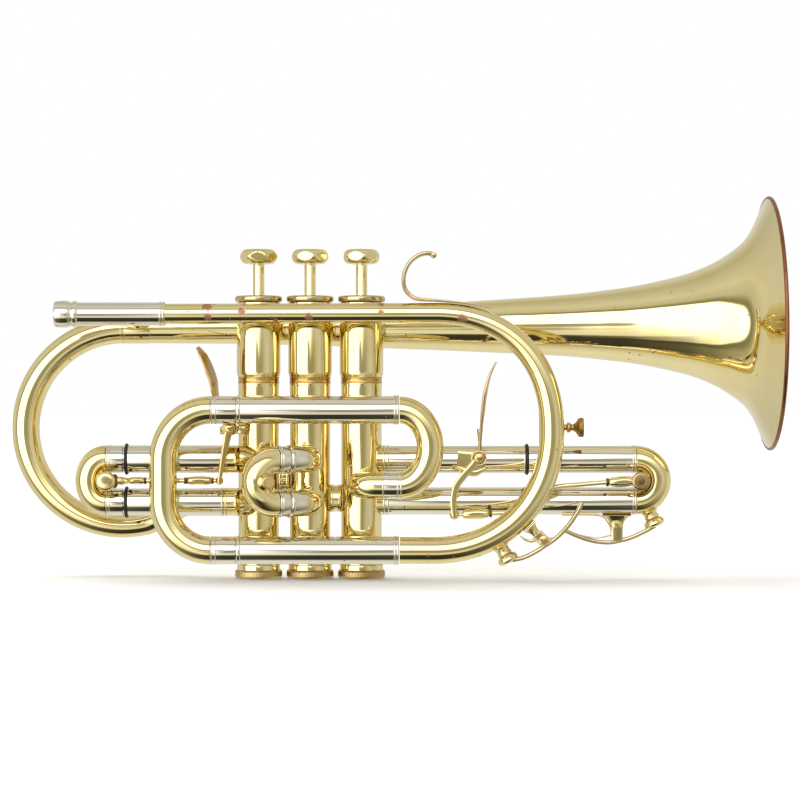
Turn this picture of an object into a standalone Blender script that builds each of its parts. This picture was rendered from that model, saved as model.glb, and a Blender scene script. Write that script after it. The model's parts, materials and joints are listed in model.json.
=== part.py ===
"""A B flat cornet with three valves, four slides, two slide triggers and two water keys.

Sizes in this file are in millimetres, and meshes are scaled to metres as they are made.
+X runs towards the bell, +Z up to the finger buttons, and +Y to the player's left.
The origin is on the second valve's axis, in the plane that the bottom caps stand on.
"""

import math

import bmesh
import bpy
from mathutils import Vector

MM = 0.001
GAP = 0.3
X_AXIS = Vector((1, 0, 0))
Y_AXIS = Vector((0, 1, 0))
Z_AXIS = Vector((0, 0, 1))

# Planes that the tubes lie in, seen from above
FRONT_Y = -20.5
FIRST_Y = -6.5
THIRD_Y = 0.0
BELL_Y = 21.5

# Valves
VALVE_SPACING = 24.0
VALVE_SIDES = 16
CASING_RADIUS = 9.45
CASING_BORE = 8.55
BALUSTER_RADIUS = 10.15
BALUSTER_BORE = 9.35
LEDGE_Z = 91.5
CASING_TOP_Z = 128.3
CAP_RADIUS = 11.0
CAP_TOP_Z = 131.5
PISTON_RADIUS = CASING_BORE - GAP
PISTON_BOTTOM_Z = 22.0
PISTON_TOP_Z = 84.0
STEM_RADIUS = 2.8
SPRING_COLLAR_Z = 120.1
SPRING_RADIUS = 8.6
SPRING_WIRE = 0.45
BUTTON_Z = 146.4
BUTTON_HEIGHT = 6.7
BUTTON_RADIUS = 8.4
BUTTON_TURNS = (0.0, -15.0, -20.0)

# Slide tubing: a leg slides in a sleeve
SLEEVE_RADIUS = 6.45
SLEEVE_BORE = 6.05
LEG_RADIUS = SLEEVE_BORE - GAP
LEG_BORE = 5.2
BEAD_RADIUS = 6.95
BEAD_WIDTH = 1.4
BOW_RADIUS = 6.4
BOW_BORE = 5.8
TUBE_SIDES = 12

# Main tuning slide
TUNING_TOP_Z = 78.3
TUNING_BOTTOM_Z = 13.9
TUNING_SLEEVE_X = (-31.8, 41.5)
TUNING_LEG_END_X = 34.0
TUNING_FERRULE_LENGTH = 11.4
TUNING_BEND = 23.0

# Leadpipe and front bow
LEADPIPE_START = (-77.5, 122.3)
LEADPIPE_RADIUS = 4.75
FRONT_BOW_CENTRE = (57.35, 68.3)
FRONT_BOW_SIZE = 54.4
FRONT_BOW_TOP_SQUARENESS = 2.26
FRONT_BOW_BOTTOM_SQUARENESS = 2.1
FRONT_BOW_END_RADIUS = 6.2
FRONT_BOW_STEPS = 14
TUBE_WALL = 0.6

# Mouthpiece receiver
RECEIVER_START_X = -116.6
RECEIVER_END_X = -65.7

# Return bow, from the tuning slide to the third valve
RETURN_REACH = 14.0
RETURN_END_Z = 43.7
RETURN_RADIUS = 6.2
ELBOW_BEND = 6.8

# Bell and its bow
BELL_TAIL_X = -88.9
BELL_TAIL_Z = 116.25
BELL_SLOPE = 0.0096
BELL_WALL = 0.6
BELL_STATIONS = (
    (-88.9, 6.3), (-20.0, 7.6), (42.0, 10.3), (80.0, 12.2), (118.0, 14.4), (137.0, 16.3),
    (156.0, 18.9), (175.0, 23.1), (185.0, 26.4), (194.0, 30.7), (204.0, 37.7), (209.2, 44.0),
    (213.0, 51.5), (216.4, 59.2),
)
BELL_RIM_X = 217.6
BELL_RIM_RADIUS = 60.3
BELL_RIM_WIRE = 1.4
BELL_SIDES = 24
BELL_BOW_CENTRE = (-89.2, 69.75)
BELL_BOW_SIZE = 46.5
BELL_BOW_TAIL = (
    (-70.5, 20.9, 27.6), (-63.0, 18.6, 32.2), (-54.0, 14.0, 35.3), (-44.0, 9.2, 36.0),
    (-33.9, 7.0, 36.0),
)

# First valve slide
FIRST_Z = (55.5, 35.5)
FIRST_SLEEVE_X = (-84.2, -33.9)
FIRST_FERRULE_X = (-92.0, -86.4)
FIRST_LEG_END_X = -42.0
FIRST_BALL = (-93.4, -15.4, 45.6)
FIRST_BALL_RADIUS = 4.6

# Second valve slide, which slants towards the player's right hand
SECOND_Z = (55.6, 35.7)
SECOND_SLANT = math.radians(25)
SECOND_CORNER_Y = -19.5
SECOND_SLEEVE_RADIUS = 6.2
SECOND_SLEEVE_BORE = 5.8
SECOND_LEG_RADIUS = SECOND_SLEEVE_BORE - GAP
SECOND_LEG_BORE = 5.0
SECOND_BEND = 6.7
SECOND_SLEEVE_END = 9.6
SECOND_LEG_END = 4.6
SECOND_FERRULE_END = 14.7
SECOND_BOW_START = 15.0
SECOND_BOW_CENTRE = 15.4

# Third valve slide
THIRD_Z = (55.2, 35.8)
THIRD_SLEEVE_X = (33.9, 100.4)
THIRD_FERRULE_X = (101.9, 151.9)
THIRD_LEG_END_X = 48.0
THIRD_PIN = (153.3, 45.4)

# Slide triggers
PIN_RADIUS = 1.2
HUB_RADIUS = 2.7
FIRST_PIVOT = (-36.8, 69.9)
FIRST_LINK_Y = -12.1
FIRST_LINK_BALL_X = -41.5
FIRST_LINK_BALL_RADIUS = 1.7
FIRST_ARM_Y = (-15.2, -14.1)
THIRD_PIVOT = (78.5, 56.0)
THIRD_LINK_Y = -9.3
LINK_ROD_RADIUS = 1.1
LINK_BARREL_RADIUS = 2.15

# Water keys
KEY_PIN_RADIUS = 1.0
KEY_HUB_RADIUS = 2.2
KEY_WIDTH = 4.2
KEY_1_PIVOT = (107.7, 18.5)
KEY_2_PIVOT = (143.0, 19.6)

# Lyre holder
LYRE_X = 110.5
LYRE_Y = -9.8
LYRE_Z = (63.0, 78.0)
LYRE_SCREW_Z = 70.2

MATERIALS = {
    "lacquered_brass": ((0.83, 0.62, 0.22), 0.16, 1.0),
    "nickel_silver": ((0.78, 0.76, 0.70), 0.14, 1.0),
    "worn_brass": ((0.46, 0.31, 0.14), 0.38, 1.0),
    "spring_steel": ((0.48, 0.47, 0.45), 0.30, 1.0),
}


# ---------------------------------------------------------------- building blocks

def clear_scene():
    for old in list(bpy.data.objects):
        bpy.data.objects.remove(old, do_unlink=True)


def make_material(name):
    colour, roughness, metallic = MATERIALS[name]
    material = bpy.data.materials.new(name)
    material.use_nodes = True
    shader = material.node_tree.nodes["Principled BSDF"]
    shader.inputs["Base Color"].default_value = (*colour, 1.0)
    shader.inputs["Roughness"].default_value = roughness
    shader.inputs["Metallic"].default_value = metallic
    return material


def add_object(name, bm, material_name):
    """Scales a mesh to metres, faces it outwards and adds it to the scene."""
    bmesh.ops.scale(bm, vec=(MM, MM, MM), verts=bm.verts)
    bmesh.ops.recalc_face_normals(bm, faces=bm.faces)
    mesh = bpy.data.meshes.new(name)
    bm.to_mesh(mesh)
    bm.free()
    mesh.shade_smooth()
    mesh.set_sharp_from_angle(angle=math.radians(40))
    mesh.materials.append(make_material(material_name))
    node = bpy.data.objects.new(name, mesh)
    bpy.context.scene.collection.objects.link(node)
    return node


def combine(name, meshes, material_name, cutters=()):
    """Joins several meshes into one body with exact Booleans, and takes the cutters away."""
    node = add_object(name, meshes[0], material_name)
    tools = [("UNION", mesh) for mesh in meshes[1:]] + [("DIFFERENCE", mesh) for mesh in cutters]
    helpers = []
    for operation, mesh in tools:
        helper = add_object(name + "_tool", mesh, material_name)
        boolean = node.modifiers.new("join", "BOOLEAN")
        boolean.operation = operation
        boolean.solver = "EXACT"
        boolean.object = helper
        helpers.append(helper)
    evaluated = node.evaluated_get(bpy.context.evaluated_depsgraph_get())
    joined = bpy.data.meshes.new_from_object(evaluated)
    node.modifiers.clear()
    node.data = joined
    for helper in helpers:
        bpy.data.objects.remove(helper, do_unlink=True)
    return node


def ring_of_points(bm, centre, across, up, radius, sides, turn=0.0):
    points = []
    for side in range(sides):
        angle = turn + math.tau * side / sides
        points.append(bm.verts.new(centre + across * radius * math.cos(angle) + up * radius * math.sin(angle)))
    return points


def join_rings(bm, first, second):
    count = len(first)
    for side in range(count):
        after = (side + 1) % count
        bm.faces.new((first[side], first[after], second[after], second[side]))


def turned(profile, centre, axis, side, sides, turn=0.0):
    """A lathe shape: the profile lists (radius, distance along the axis), closed or ending on the axis."""
    bm = bmesh.new()
    across = side.normalized()
    up = axis.cross(across).normalized()
    rings = []
    for radius, along in profile:
        middle = Vector(centre) + axis * along
        if radius == 0:
            rings.append([bm.verts.new(middle)])
        else:
            rings.append(ring_of_points(bm, middle, across, up, radius, sides, turn))
    solid = len(rings[0]) == 1
    pairs = list(zip(rings, rings[1:]))
    if not solid:
        pairs.append((rings[-1], rings[0]))
    for first, second in pairs:
        if len(first) == 1 or len(second) == 1:
            tip, ring = (first[0], second) if len(first) == 1 else (second[0], first)
            for index in range(sides):
                bm.faces.new((tip, ring[index], ring[(index + 1) % sides]))
        else:
            join_rings(bm, first, second)
    return bm


def cylinder(start, end, radius, sides, side):
    axis = Vector(end) - Vector(start)
    profile = ((0, 0), (radius, 0), (radius, axis.length), (0, axis.length))
    return turned(profile, start, axis.normalized(), side, sides)


def ball(centre, radius, sides, rows):
    profile = []
    for row in range(rows + 1):
        angle = math.pi * row / rows
        profile.append((0 if row in (0, rows) else radius * math.sin(angle), -radius * math.cos(angle)))
    return turned(profile, centre, Y_AXIS, X_AXIS, sides)


def sweep(path, outer, inner, sides, side, ends=(None, None)):
    """A tube along a path with mitred corners, open at both ends, or a rod where inner is None.

    Its ends are cut square to the path, or square to the directions that ends gives.
    """
    bm = bmesh.new()
    points = [Vector(point) for point in path]
    outers = outer if isinstance(outer, (list, tuple)) else [outer] * len(points)
    across = side.normalized()
    shells = [outers]
    if inner is not None:
        shells.append(inner if isinstance(inner, (list, tuple)) else [inner] * len(points))
    rings = [[] for _ in shells]
    for index, point in enumerate(points):
        incoming = (point - points[index - 1]).normalized() if index else (points[1] - point).normalized()
        outgoing = (points[index + 1] - point).normalized() if index < len(points) - 1 else incoming
        across = (across - incoming * across.dot(incoming)).normalized()
        up = incoming.cross(across)
        mitre = (incoming + outgoing).normalized()
        if index == 0 and ends[0]:
            mitre = ends[0]
        if index == len(points) - 1 and ends[1]:
            mitre = ends[1]
        for shell, radii in enumerate(shells):
            ring = ring_of_points(bm, point, across, up, radii[index], sides)
            for vert in ring:
                offset = vert.co - point
                vert.co -= incoming * (offset.dot(mitre) / incoming.dot(mitre))
            rings[shell].append(ring)
        across = incoming.rotation_difference(outgoing) @ across
    for shell in rings:
        for first, second in zip(shell, shell[1:]):
            join_rings(bm, first, second)
    for end in (0, -1):
        if inner is None:
            bm.faces.new(rings[0][end])
        else:
            join_rings(bm, rings[0][end], rings[1][end])
    return bm


def strip(path, y_low, y_high, thickness):
    """A bent flat bar: the path lists (x, z), and the bar is extruded from y_low to y_high."""
    bm = bmesh.new()
    points = [Vector((x, 0, z)) for x, z in path]
    rows = []
    for index, point in enumerate(points):
        before = points[max(index - 1, 0)]
        after = points[min(index + 1, len(points) - 1)]
        normal = (after - before).normalized().cross(Y_AXIS) * (thickness / 2)
        corners = (point + normal, point - normal)
        rows.append([bm.verts.new(corner + Y_AXIS * y) for corner in corners for y in (y_low, y_high)])
    for first, second in zip(rows, rows[1:]):
        for a, b in ((0, 1), (1, 3), (3, 2), (2, 0)):
            bm.faces.new((first[a], first[b], second[b], second[a]))
    for row in (rows[0], rows[-1]):
        bm.faces.new((row[0], row[1], row[3], row[2]))
    return bm


def block(low, high):
    bm = bmesh.new()
    bmesh.ops.create_cube(bm, size=1.0)
    size = Vector(high) - Vector(low)
    bmesh.ops.scale(bm, vec=size, verts=bm.verts)
    bmesh.ops.translate(bm, vec=(Vector(low) + Vector(high)) / 2, verts=bm.verts)
    return bm


def slanted_block(centre, outward, along, depths, half_width, y_range):
    """A block whose depth runs along outward and whose width runs along another direction in the XZ plane."""
    bm = bmesh.new()
    corners = []
    for depth in depths:
        for width in (-half_width, half_width):
            for y in y_range:
                corners.append(bm.verts.new(Vector(centre) + outward * depth + along * width + Y_AXIS * y))
    for face in ((0, 1, 3, 2), (4, 5, 7, 6), (0, 1, 5, 4), (2, 3, 7, 6), (0, 2, 6, 4), (1, 3, 7, 5)):
        bm.faces.new([corners[index] for index in face])
    return bm


def in_plane(xz_points, y):
    return [(x, y, z) for x, z in xz_points]


def arc(centre, radius, start, end, steps):
    """Points (x, z) on a circle, from one angle to another, in degrees from +X towards +Z."""
    points = []
    for step in range(steps + 1):
        angle = math.radians(start + (end - start) * step / steps)
        points.append((centre[0] + radius * math.cos(angle), centre[1] + radius * math.sin(angle)))
    return points


def smooth_points(points, steps):
    """Points on a smooth curve through the given ones."""
    guides = [Vector(point) for point in points]
    guides = [guides[0] * 2 - guides[1]] + guides + [guides[-1] * 2 - guides[-2]]
    curve = []
    for a, b, c, d in zip(guides, guides[1:], guides[2:], guides[3:]):
        for step in range(steps):
            t = step / steps
            curve.append(
                0.5 * (2 * b + (c - a) * t + (2 * a - 5 * b + 4 * c - d) * t**2 + (3 * b - a - 3 * c + d) * t**3)
            )
    curve.append(guides[-2])
    return curve


def joint_empty(name, location):
    """An empty on a joint's axis, which the moving pieces hang on."""
    empty = bpy.data.objects.new(name, None)
    empty.location = Vector(location) * MM
    bpy.context.scene.collection.objects.link(empty)
    return empty


def hang(nodes, empty):
    for node in nodes:
        node.parent = empty
        node.location = -empty.location


# ---------------------------------------------------------------- valves

def casing(number, x):
    profile = (
        (CASING_RADIUS, 1.8), (CASING_RADIUS, 89.5), (9.9, 91.0), (9.9, 94.0), (BALUSTER_RADIUS, 95.5),
        (BALUSTER_RADIUS, CASING_TOP_Z), (BALUSTER_BORE, CASING_TOP_Z), (BALUSTER_BORE, LEDGE_Z),
        (CASING_BORE, LEDGE_Z), (CASING_BORE, 1.8),
    )
    add_object(f"valve_{number}_casing", turned(profile, (x, 0, 0), Z_AXIS, Y_AXIS, VALVE_SIDES), "lacquered_brass")


def bottom_cap(number, x):
    inner = CASING_RADIUS + GAP
    profile = (
        (0, 0), (CAP_RADIUS - 0.4, 0), (CAP_RADIUS, 0.5), (CAP_RADIUS, 4.4), (10.4, 4.6), (10.4, 6.2),
        (inner, 6.2), (inner, 1.5), (0, 1.5),
    )
    add_object(f"valve_{number}_bottom_cap", turned(profile, (x, 0, 0), Z_AXIS, Y_AXIS, VALVE_SIDES), "worn_brass")


def top_cap(number, x):
    hole = STEM_RADIUS + GAP
    skirt = BALUSTER_BORE - GAP - 0.05
    profile = (
        (hole, CAP_TOP_Z), (CAP_RADIUS, CAP_TOP_Z), (CAP_RADIUS, CASING_TOP_Z + GAP), (skirt, CASING_TOP_Z + GAP),
        (skirt, 123.6), (7.6, 123.6), (7.6, 127.5), (hole, 127.5),
    )
    add_object(f"valve_{number}_top_cap", turned(profile, (x, 0, 0), Z_AXIS, Y_AXIS, VALVE_SIDES), "worn_brass")


def piston(number, x):
    """A hollow piston, open below, with its stem and the collar that the spring pushes up."""
    collar = BALUSTER_BORE - GAP - 0.05
    profile = (
        (0, PISTON_TOP_Z - 1.5), (7.5, PISTON_TOP_Z - 1.5), (7.5, PISTON_BOTTOM_Z), (PISTON_RADIUS, PISTON_BOTTOM_Z),
        (PISTON_RADIUS, PISTON_TOP_Z), (STEM_RADIUS, PISTON_TOP_Z), (STEM_RADIUS, SPRING_COLLAR_Z),
        (collar, SPRING_COLLAR_Z), (collar, SPRING_COLLAR_Z + 1.5), (STEM_RADIUS, SPRING_COLLAR_Z + 1.5),
        (STEM_RADIUS, BUTTON_Z - GAP), (0, BUTTON_Z - GAP),
    )
    return add_object(f"piston_{number}", turned(profile, (x, 0, 0), Z_AXIS, Y_AXIS, VALVE_SIDES), "nickel_silver")


def finger_button(number, x, turn):
    profile = (
        (0, 0), (0.72 * BUTTON_RADIUS, 0), (BUTTON_RADIUS, 2.2), (BUTTON_RADIUS, 4.6),
        (0.78 * BUTTON_RADIUS, BUTTON_HEIGHT), (0, BUTTON_HEIGHT),
    )
    mesh = turned(profile, (x, 0, BUTTON_Z), Z_AXIS, X_AXIS, 6, math.radians(turn))
    return add_object(f"finger_button_{number}", mesh, "lacquered_brass")


def valve_spring(number, x):
    """The spring stands on the casing's ledge and pushes the piston's collar up."""
    turns, steps = 5, 7
    low = LEDGE_Z + GAP + SPRING_WIRE
    high = SPRING_COLLAR_Z - GAP - SPRING_WIRE
    path = []
    for step in range(turns * steps + 1):
        angle = math.tau * step / steps
        height = low + (high - low) * step / (turns * steps)
        path.append((x + SPRING_RADIUS * math.cos(angle), SPRING_RADIUS * math.sin(angle), height))
    add_object(f"valve_spring_{number}", sweep(path, SPRING_WIRE, None, 4, Z_AXIS), "spring_steel")


def valves():
    for number, turn in zip((1, 2, 3), BUTTON_TURNS):
        x = (number - 2) * VALVE_SPACING
        casing(number, x)
        bottom_cap(number, x)
        top_cap(number, x)
        valve_spring(number, x)
        moving = [piston(number, x), finger_button(number, x, turn)]
        hang(moving, joint_empty(f"valve_{number}_axis", (x, 0, BUTTON_Z)))


def crossovers():
    """Short tubes that carry the air from one casing to the next."""
    half_length = VALVE_SPACING / 2 - CASING_RADIUS - GAP
    for name, x, z in (("crossover_1_2", -12.0, 46.0), ("crossover_2_3", 12.0, 37.0)):
        path = ((x - half_length, 0, z), (x + half_length, 0, z))
        add_object(name, sweep(path, 6.2, 5.6, TUBE_SIDES, Y_AXIS), "lacquered_brass")


# ---------------------------------------------------------------- leadpipe, tuning slide and return bow

def front_bow_points():
    """The front bow's centre line, a half circle drawn out a little at its corners."""
    points = []
    for step in range(FRONT_BOW_STEPS + 1):
        angle = math.pi * (0.5 - step / FRONT_BOW_STEPS)
        top = step < FRONT_BOW_STEPS / 2
        power = 2 / (FRONT_BOW_TOP_SQUARENESS if top else FRONT_BOW_BOTTOM_SQUARENESS)
        reach = abs(math.cos(angle)) ** power
        height = math.copysign(abs(math.sin(angle)) ** power, math.sin(angle))
        points.append((FRONT_BOW_CENTRE[0] + FRONT_BOW_SIZE * reach, FRONT_BOW_CENTRE[1] + FRONT_BOW_SIZE * height))
    return points


def leadpipe():
    bow = front_bow_points()
    points = [LEADPIPE_START] + bow + [(TUNING_SLEEVE_X[1] + GAP, TUNING_BOTTOM_Z)]
    growth = FRONT_BOW_END_RADIUS - LEADPIPE_RADIUS
    radii = [LEADPIPE_RADIUS]
    radii += [LEADPIPE_RADIUS + growth * min(1.0, step / (0.8 * FRONT_BOW_STEPS)) for step in range(len(bow))]
    radii += [FRONT_BOW_END_RADIUS]
    bores = [radius - TUBE_WALL for radius in radii]
    tube = sweep(in_plane(points, FRONT_Y), radii, bores, TUBE_SIDES, Y_AXIS)
    add_object("leadpipe", tube, "lacquered_brass")


def receiver():
    """The mouthpiece receiver: a bulged end cap, a collar, a socket and a beaded end over the leadpipe."""
    start, end = RECEIVER_START_X, RECEIVER_END_X
    sleeve_bore = LEADPIPE_RADIUS + GAP
    profile = (
        (5.0, start), (5.9, start), (6.25, start + 2.0), (6.25, start + 6.0), (5.7, start + 7.6), (6.1, start + 8.2),
        (6.1, start + 10.2), (5.5, start + 10.8), (5.5, end - 2.4), (6.0, end - 1.9), (6.0, end),
        (sleeve_bore, end), (sleeve_bore, -78.0), (4.4, -79.0),
    )
    centre = (0, FRONT_Y, LEADPIPE_START[1])
    add_object("mouthpiece_receiver", turned(profile, centre, X_AXIS, Y_AXIS, TUBE_SIDES), "nickel_silver")


def sleeve(name, x_range, y, z):
    """An outer slide tube with a bead at each end."""
    low, high = x_range
    profile = (
        (BEAD_RADIUS, low), (BEAD_RADIUS, low + BEAD_WIDTH), (SLEEVE_RADIUS, low + BEAD_WIDTH),
        (SLEEVE_RADIUS, high - BEAD_WIDTH), (BEAD_RADIUS, high - BEAD_WIDTH), (BEAD_RADIUS, high),
        (SLEEVE_BORE, high), (SLEEVE_BORE, low),
    )
    add_object(name, turned(profile, (0, y, z), X_AXIS, Y_AXIS, TUBE_SIDES), "nickel_silver")


def leg(name, ferrule_x, end_x, y, z):
    """An inner slide tube with the ferrule that joins it to its bow."""
    bow_side, mouth_side = ferrule_x
    profile = (
        (SLEEVE_RADIUS, bow_side), (SLEEVE_RADIUS, mouth_side), (LEG_RADIUS, mouth_side), (LEG_RADIUS, end_x),
        (LEG_BORE, end_x), (LEG_BORE, bow_side),
    )
    return add_object(name, turned(profile, (0, y, z), X_AXIS, Y_AXIS, TUBE_SIDES), "nickel_silver")


def tuning_slide():
    heights = {"upper": TUNING_TOP_Z, "lower": TUNING_BOTTOM_Z}
    ferrule_end = TUNING_SLEEVE_X[0] - GAP
    ferrule_start = ferrule_end - TUNING_FERRULE_LENGTH
    bow_x = ferrule_start - GAP
    moving = []
    for place, z in heights.items():
        sleeve(f"tuning_sleeve_{place}", TUNING_SLEEVE_X, FRONT_Y, z)
        moving.append(leg(f"tuning_leg_{place}", (ferrule_start, ferrule_end), TUNING_LEG_END_X, FRONT_Y, z))
    points = arc((bow_x, TUNING_TOP_Z - TUNING_BEND), TUNING_BEND, 90, 180, 5)
    points += arc((bow_x, TUNING_BOTTOM_Z + TUNING_BEND), TUNING_BEND, 180, 270, 5)
    tube = sweep(in_plane(points, FRONT_Y), BOW_RADIUS, BOW_BORE, TUBE_SIDES, Y_AXIS, (X_AXIS, X_AXIS))
    moving.append(add_object("tuning_bow", tube, "lacquered_brass"))
    hang(moving, joint_empty("tuning_slide_axis", (bow_x, FRONT_Y, (TUNING_TOP_Z + TUNING_BOTTOM_Z) / 2)))


def elbow(corner, before, after, bend, steps):
    """Points on a round bend at a corner, from the direction before to the direction after."""
    turn = before.angle(after)
    start = corner - before * bend * math.tan(turn / 2)
    inward = (after - before * before.dot(after)).normalized()
    centre = start + inward * bend
    points = []
    for step in range(steps + 1):
        angle = turn * step / steps
        points.append(centre - inward * bend * math.cos(angle) + before * bend * math.sin(angle))
    return points


def return_bow():
    """The bow that brings the air back from the tuning slide into the third casing."""
    start_x = TUNING_SLEEVE_X[1] + GAP
    middle_z = (TUNING_TOP_Z + RETURN_END_Z) / 2
    half_height = (TUNING_TOP_Z - RETURN_END_Z) / 2
    steps = 8
    path = []
    for step in range(steps + 1):
        angle = math.pi * (0.5 - step / steps)
        x = start_x + RETURN_REACH * math.cos(angle)
        path.append(Vector((x, FRONT_Y, middle_z + half_height * math.sin(angle))))
    corner = Vector((VALVE_SPACING, FRONT_Y, RETURN_END_Z))
    path += elbow(corner, -X_AXIS, Y_AXIS, ELBOW_BEND, 3)
    path.append(Vector((VALVE_SPACING, -CASING_RADIUS - GAP - 0.1, RETURN_END_Z)))
    tube = sweep(path, RETURN_RADIUS, RETURN_RADIUS - TUBE_WALL, TUBE_SIDES, Y_AXIS, (X_AXIS, None))
    add_object("return_bow", tube, "lacquered_brass")


# ---------------------------------------------------------------- bell

def bell_axis_z(x):
    return BELL_TAIL_Z + BELL_SLOPE * (x - BELL_TAIL_X)


def bell():
    """The bell, from its tail to its wired rim, leaning up a little along its length."""
    rim_inner_x = BELL_RIM_X - BELL_RIM_WIRE
    outer = [(radius, x) for x, radius in BELL_STATIONS]
    rim = [(BELL_RIM_RADIUS, rim_inner_x), (BELL_RIM_RADIUS, BELL_RIM_X), (BELL_RIM_RADIUS - 1.6, BELL_RIM_X)]
    inner = [(radius - BELL_WALL, x + 0.6 * BELL_WALL) for x, radius in reversed(BELL_STATIONS[1:-1])]
    inner += [(BELL_STATIONS[0][1] - BELL_WALL, BELL_TAIL_X)]
    axis = Vector((1, 0, BELL_SLOPE)).normalized()
    centre = (0, BELL_Y, bell_axis_z(0))
    mesh = turned(outer + rim + inner, centre, axis, Y_AXIS, BELL_SIDES)
    add_object("bell", mesh, "lacquered_brass")


def bell_bow():
    """The large rear bow, which carries the air from the first casing round to the bell."""
    circle = arc(BELL_BOW_CENTRE, BELL_BOW_SIZE, 90, 284, 13)
    path = in_plane(circle, BELL_Y) + smooth_points(BELL_BOW_TAIL, 2)
    outer = []
    for index in range(len(path)):
        shrink = min(1.0, max(0.0, (index - 7) / 6))
        outer.append(6.45 - 0.75 * shrink)
    bores = [radius - TUBE_WALL for radius in outer]
    tube = sweep(path, outer, bores, TUBE_SIDES, Y_AXIS, (X_AXIS, X_AXIS))
    add_object("bell_bow", tube, "lacquered_brass")


def receiver_brace():
    """A post with a foot at each end, between the receiver and the bell's tail."""
    x = -82.2
    receiver_back = FRONT_Y + 5.5 + GAP
    bell_front = BELL_Y - 6.5 - GAP
    start = Vector((x, receiver_back, LEADPIPE_START[1]))
    end = Vector((x, bell_front, bell_axis_z(x)))
    axis = (end - start).normalized()
    length = (end - start).length
    profile = (
        (0, 0), (4.0, 0), (4.0, 1.0), (1.8, 2.6), (1.8, length - 2.6), (5.6, length - 1.0), (5.6, length), (0, length),
    )
    add_object("receiver_brace", turned(profile, start, axis, X_AXIS, 12), "lacquered_brass")


# ---------------------------------------------------------------- valve slides

def slide_bow(start_x, towards, z_pair, y, steps):
    """The U of a valve slide, which bulges towards -X or +X."""
    middle = sum(z_pair) / 2
    radius = (z_pair[0] - z_pair[1]) / 2
    points = arc((start_x, middle), radius, 90, 90 - 180 * towards, steps)
    return sweep(in_plane(points, y), BOW_RADIUS, BOW_BORE, TUBE_SIDES, Y_AXIS, (X_AXIS, X_AXIS))


def first_slide():
    moving = []
    for place, z in zip(("upper", "lower"), FIRST_Z):
        sleeve(f"first_sleeve_{place}", FIRST_SLEEVE_X, FIRST_Y, z)
        moving.append(leg(f"first_leg_{place}", FIRST_FERRULE_X, FIRST_LEG_END_X, FIRST_Y, z))
    bow_x = FIRST_FERRULE_X[0] - GAP
    bow = slide_bow(bow_x, -1, FIRST_Z, FIRST_Y, 8)
    ball_x, ball_y, ball_z = FIRST_BALL
    bridge = block((bow_x - 3.6, FIRST_Y - 1.1, FIRST_Z[1] + 6.0), (bow_x - 0.2, FIRST_Y + 1.1, FIRST_Z[0] - 6.0))
    pin = cylinder((ball_x, FIRST_Y, ball_z), FIRST_BALL, 1.5, 10, X_AXIS)
    knob = ball(FIRST_BALL, FIRST_BALL_RADIUS, 10, 6)
    moving.append(combine("first_bow", [bow, bridge, pin, knob], "lacquered_brass"))
    hang(moving, joint_empty("first_slide_axis", FIRST_BALL))


def second_slide():
    """The short slide in front of the second casing, with an elbow on each leg."""
    out = Vector((-math.cos(SECOND_SLANT), -math.sin(SECOND_SLANT), 0))
    moving = []
    for place, z in zip(("upper", "lower"), SECOND_Z):
        corner = Vector((0, SECOND_CORNER_Y, z))
        path = [Vector((0, -CASING_RADIUS - GAP - 0.1, z))]
        path += elbow(corner, -Y_AXIS, out, SECOND_BEND, 3)
        path.append(corner + out * SECOND_SLEEVE_END)
        tube = sweep(path, SECOND_SLEEVE_RADIUS, SECOND_SLEEVE_BORE, TUBE_SIDES, Z_AXIS)
        add_object(f"second_sleeve_{place}", tube, "nickel_silver")
        ferrule_start = SECOND_SLEEVE_END + GAP
        profile = (
            (SECOND_SLEEVE_RADIUS, SECOND_FERRULE_END), (SECOND_SLEEVE_RADIUS, ferrule_start),
            (SECOND_LEG_RADIUS, ferrule_start), (SECOND_LEG_RADIUS, SECOND_LEG_END),
            (SECOND_LEG_BORE, SECOND_LEG_END), (SECOND_LEG_BORE, SECOND_FERRULE_END),
        )
        moving.append(
            add_object(f"second_leg_{place}", turned(profile, corner, out, Z_AXIS, TUBE_SIDES), "nickel_silver")
        )
    middle = Vector((0, SECOND_CORNER_Y, sum(SECOND_Z) / 2))
    radius = (SECOND_Z[0] - SECOND_Z[1]) / 2
    path = [middle + out * SECOND_BOW_START + Z_AXIS * radius]
    for x, z in arc((0, 0), radius, 90, -90, 8):
        path.append(middle + out * (SECOND_BOW_CENTRE + x) + Z_AXIS * z)
    path.append(middle + out * SECOND_BOW_START - Z_AXIS * radius)
    bow = sweep(path, SECOND_SLEEVE_RADIUS, SECOND_SLEEVE_RADIUS - TUBE_WALL, TUBE_SIDES, Z_AXIS.cross(out))
    knob_base = middle + out * (SECOND_BOW_CENTRE + 1.2) - Z_AXIS.cross(out) * 1.0
    towards_front = Vector((math.sin(SECOND_SLANT), -math.cos(SECOND_SLANT), 0))
    knob_profile = (
        (0, 0), (4.4, 0), (4.4, 1.6), (1.9, 2.4), (1.9, 7.0), (3.2, 8.2), (3.2, 10.4), (2.4, 11.2), (0, 11.2),
    )
    knob = turned(knob_profile, knob_base, towards_front, Z_AXIS, 10)
    moving.append(combine("second_bow", [bow, knob], "lacquered_brass"))
    hang(moving, joint_empty("second_slide_axis", middle + out * SECOND_BOW_CENTRE))


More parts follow.
